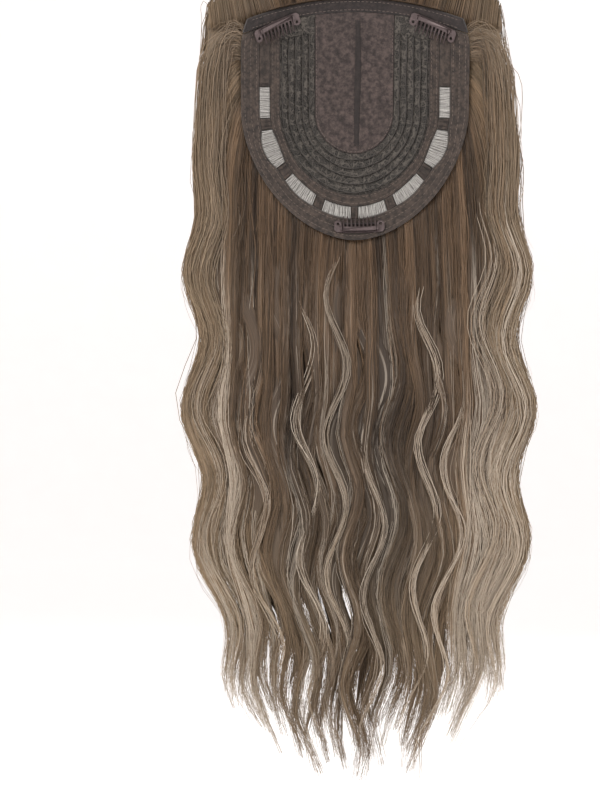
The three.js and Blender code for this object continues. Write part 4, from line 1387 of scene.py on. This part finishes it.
def build_crown_body():
    """The cover of the crown hair: over the front edge, on the dome and down behind it."""
    arch = np.array([0.995, 0.97, 0.92, 0.84, 0.74, 0.62, 0.48, 0.34, 0.2, 0.08]) * HAIR_ARCH
    heights = np.concatenate([arch, [0.9, 0.5], np.linspace(-3.0, COVER_BOTTOM, 60)])
    _, column = grid(len(heights) - 1, 60, across=(-1.0, 1.0))
    height = heights[:, None] + 0 * column
    flat = cover_flat(column, height) * 0.97
    z = cover_z(flat, height)
    thin = 0.1 + 0.9 * smoothstep(height, COVER_BOTTOM, -220.0)
    far = cover_far(column, height)
    near = np.where(height > 0.6, cover_near(flat, height), crown_near(flat, z) + 1.0)
    middle = (near + far) / 2
    wave = wave_y(column, height)
    sides = [np.stack([flat, middle + (side - middle) * thin + wave, z], axis=-1) for side in (far, near)]
    points, faces = closed_slab(*sides)
    body = new_piece("crown_hair_body", (points, faces), BODY_HAIR, ["crown_hair"])
    along = np.clip(-points[:, 2] / HAIR_FALL, 0.0, 1.0)[None]
    columns = np.repeat(column.ravel(), 2)
    # Painted shade: the cover's colours are scaled by 0.8 as it lies in shade under the strands
    colours = tress_colours(along, np.array([0.45]), np.array([0.5]), columns[None])[0] * 0.8
    flow = np.stack([columns * COVER_GRAIN, points[:, 2], 0 * columns], axis=-1)
    paint(body, colours, flow, 0.35 * smoothstep(-points[:, 2], 60.0, 260.0))


def build_hair():
    rim_tresses = make_tresses(rim_bounds(), 3)
    crown_tresses = make_tresses(crown_bounds(), 3)
    wisps = make_wisps()
    build_rim_body()
    build_crown_body()
    rim_tress_bodies(rim_tresses)
    crown_tress_bodies(crown_tresses)
    build_strands("rim", rim_tresses, wisps, 3, RIM_STRANDS_PER_TRESS, rim_strand_paths, (0.13, 0.25))
    build_strands("crown", crown_tresses, wisps, 2, CROWN_STRANDS_PER_TRESS, crown_strand_paths,
                  (0.15, 0.28))
    build_side_strands()
    build_pale_locks()
    build_flyaways()


# Stage, light and camera, in metres apart from the photo's pixels
FLOOR_Z = -0.585
FLOOR_NEAR_Y = -7.0
FLOOR_HALF_WIDTH = 9.0
WALL_Y = 3.2
WALL_RADIUS = 0.9
WALL_HEIGHT = 6.0
FLOOR_GLOW = 0.16
STUDIO_STRENGTH = 0.75
LAMP_COLOUR = (1.0, 0.98, 0.96)
AIM = (0.0, 0.0, -0.22)
BACK_AIM = (0.0, 0.0, -0.1)
PHOTO_WIDTH = 600
PHOTO_HEIGHT = 789
PIXEL = 0.634 * MM
ORIGIN_PIXEL = (355.0, -2.0)
CAMERA_DISTANCE = 1.5
SENSOR = 36.0


def build_stage():
    material, tree, shader = new_material("pale_floor", srgb(252, 250, 251), 0.9)
    speck = noise(tree, object_place(tree), 30.0)
    tree.links.new(ramp(tree, speck, [(0.3, srgb(251, 249, 250)), (0.7, srgb(253, 252, 253))]),
                   shader.inputs["Base Color"])
    shader.inputs["Emission Color"].default_value = (*srgb(255, 253, 253), 1.0)
    shader.inputs["Emission Strength"].default_value = FLOOR_GLOW
    profile = [(FLOOR_NEAR_Y, 0.0), (WALL_Y, 0.0)]
    for angle in np.linspace(0, np.pi / 2, 16)[1:]:
        profile.append((WALL_Y + WALL_RADIUS * math.sin(angle), WALL_RADIUS * (1 - math.cos(angle))))
    profile.append((WALL_Y + WALL_RADIUS, WALL_HEIGHT))
    points = [(x, y, FLOOR_Z + z) for y, z in profile for x in (-FLOOR_HALF_WIDTH, FLOOR_HALF_WIDTH)]
    faces = [[2 * i, 2 * i + 1, 2 * i + 3, 2 * i + 2] for i in range(len(profile) - 1)]
    mesh = bpy.data.meshes.new("backdrop")
    mesh.from_pydata(points, [], faces)
    finish_mesh(mesh, material)
    backdrop = add_object("backdrop", mesh)


def add_light(name, place, target, size, power):
    light = bpy.data.lights.new(name, "AREA")
    light.energy = power
    light.size = size
    light.color = LAMP_COLOUR
    lamp = add_object(name, light)
    lamp.location = place
    direction = np.array(target) - np.array(place)
    yaw = math.atan2(direction[1], direction[0]) - math.pi / 2
    pitch = math.atan2(direction[2], math.hypot(direction[0], direction[1]))
    lamp.rotation_euler = (math.pi / 2 + pitch, 0.0, yaw)


def build_lights():
    world = bpy.data.worlds.new("studio")
    world.use_nodes = True
    background = world.node_tree.nodes["Background"]
    background.inputs["Color"].default_value = (*srgb(254, 250, 246), 1.0)
    background.inputs["Strength"].default_value = STUDIO_STRENGTH
    bpy.context.scene.world = world
    add_light("key", (-0.9, -1.5, 0.75), AIM, 1.0, 22.0)
    add_light("fill", (1.2, -1.3, 0.2), AIM, 1.4, 9.0)
    add_light("back", (0.4, 1.0, 0.6), BACK_AIM, 0.8, 8.0)


def build_camera():
    camera_data = bpy.data.cameras.new("camera")
    camera = add_object("camera", camera_data)
    centre_x = (PHOTO_WIDTH / 2 - ORIGIN_PIXEL[0]) * PIXEL
    centre_z = -(PHOTO_HEIGHT / 2 - ORIGIN_PIXEL[1]) * PIXEL
    camera.location = (centre_x, -CAMERA_DISTANCE, centre_z)
    camera.rotation_euler = (math.pi / 2, 0.0, 0.0)
    camera_data.sensor_width = SENSOR
    camera_data.lens = SENSOR * CAMERA_DISTANCE / (PHOTO_HEIGHT * PIXEL)
    bpy.context.scene.camera = camera


bpy.context.scene.view_settings.view_transform = "Standard"
build_camera()
build_stage()
build_lights()
build_bands()
build_window_ring()
build_lace()
build_panel()
build_stitches()
build_clips()
build_hair()
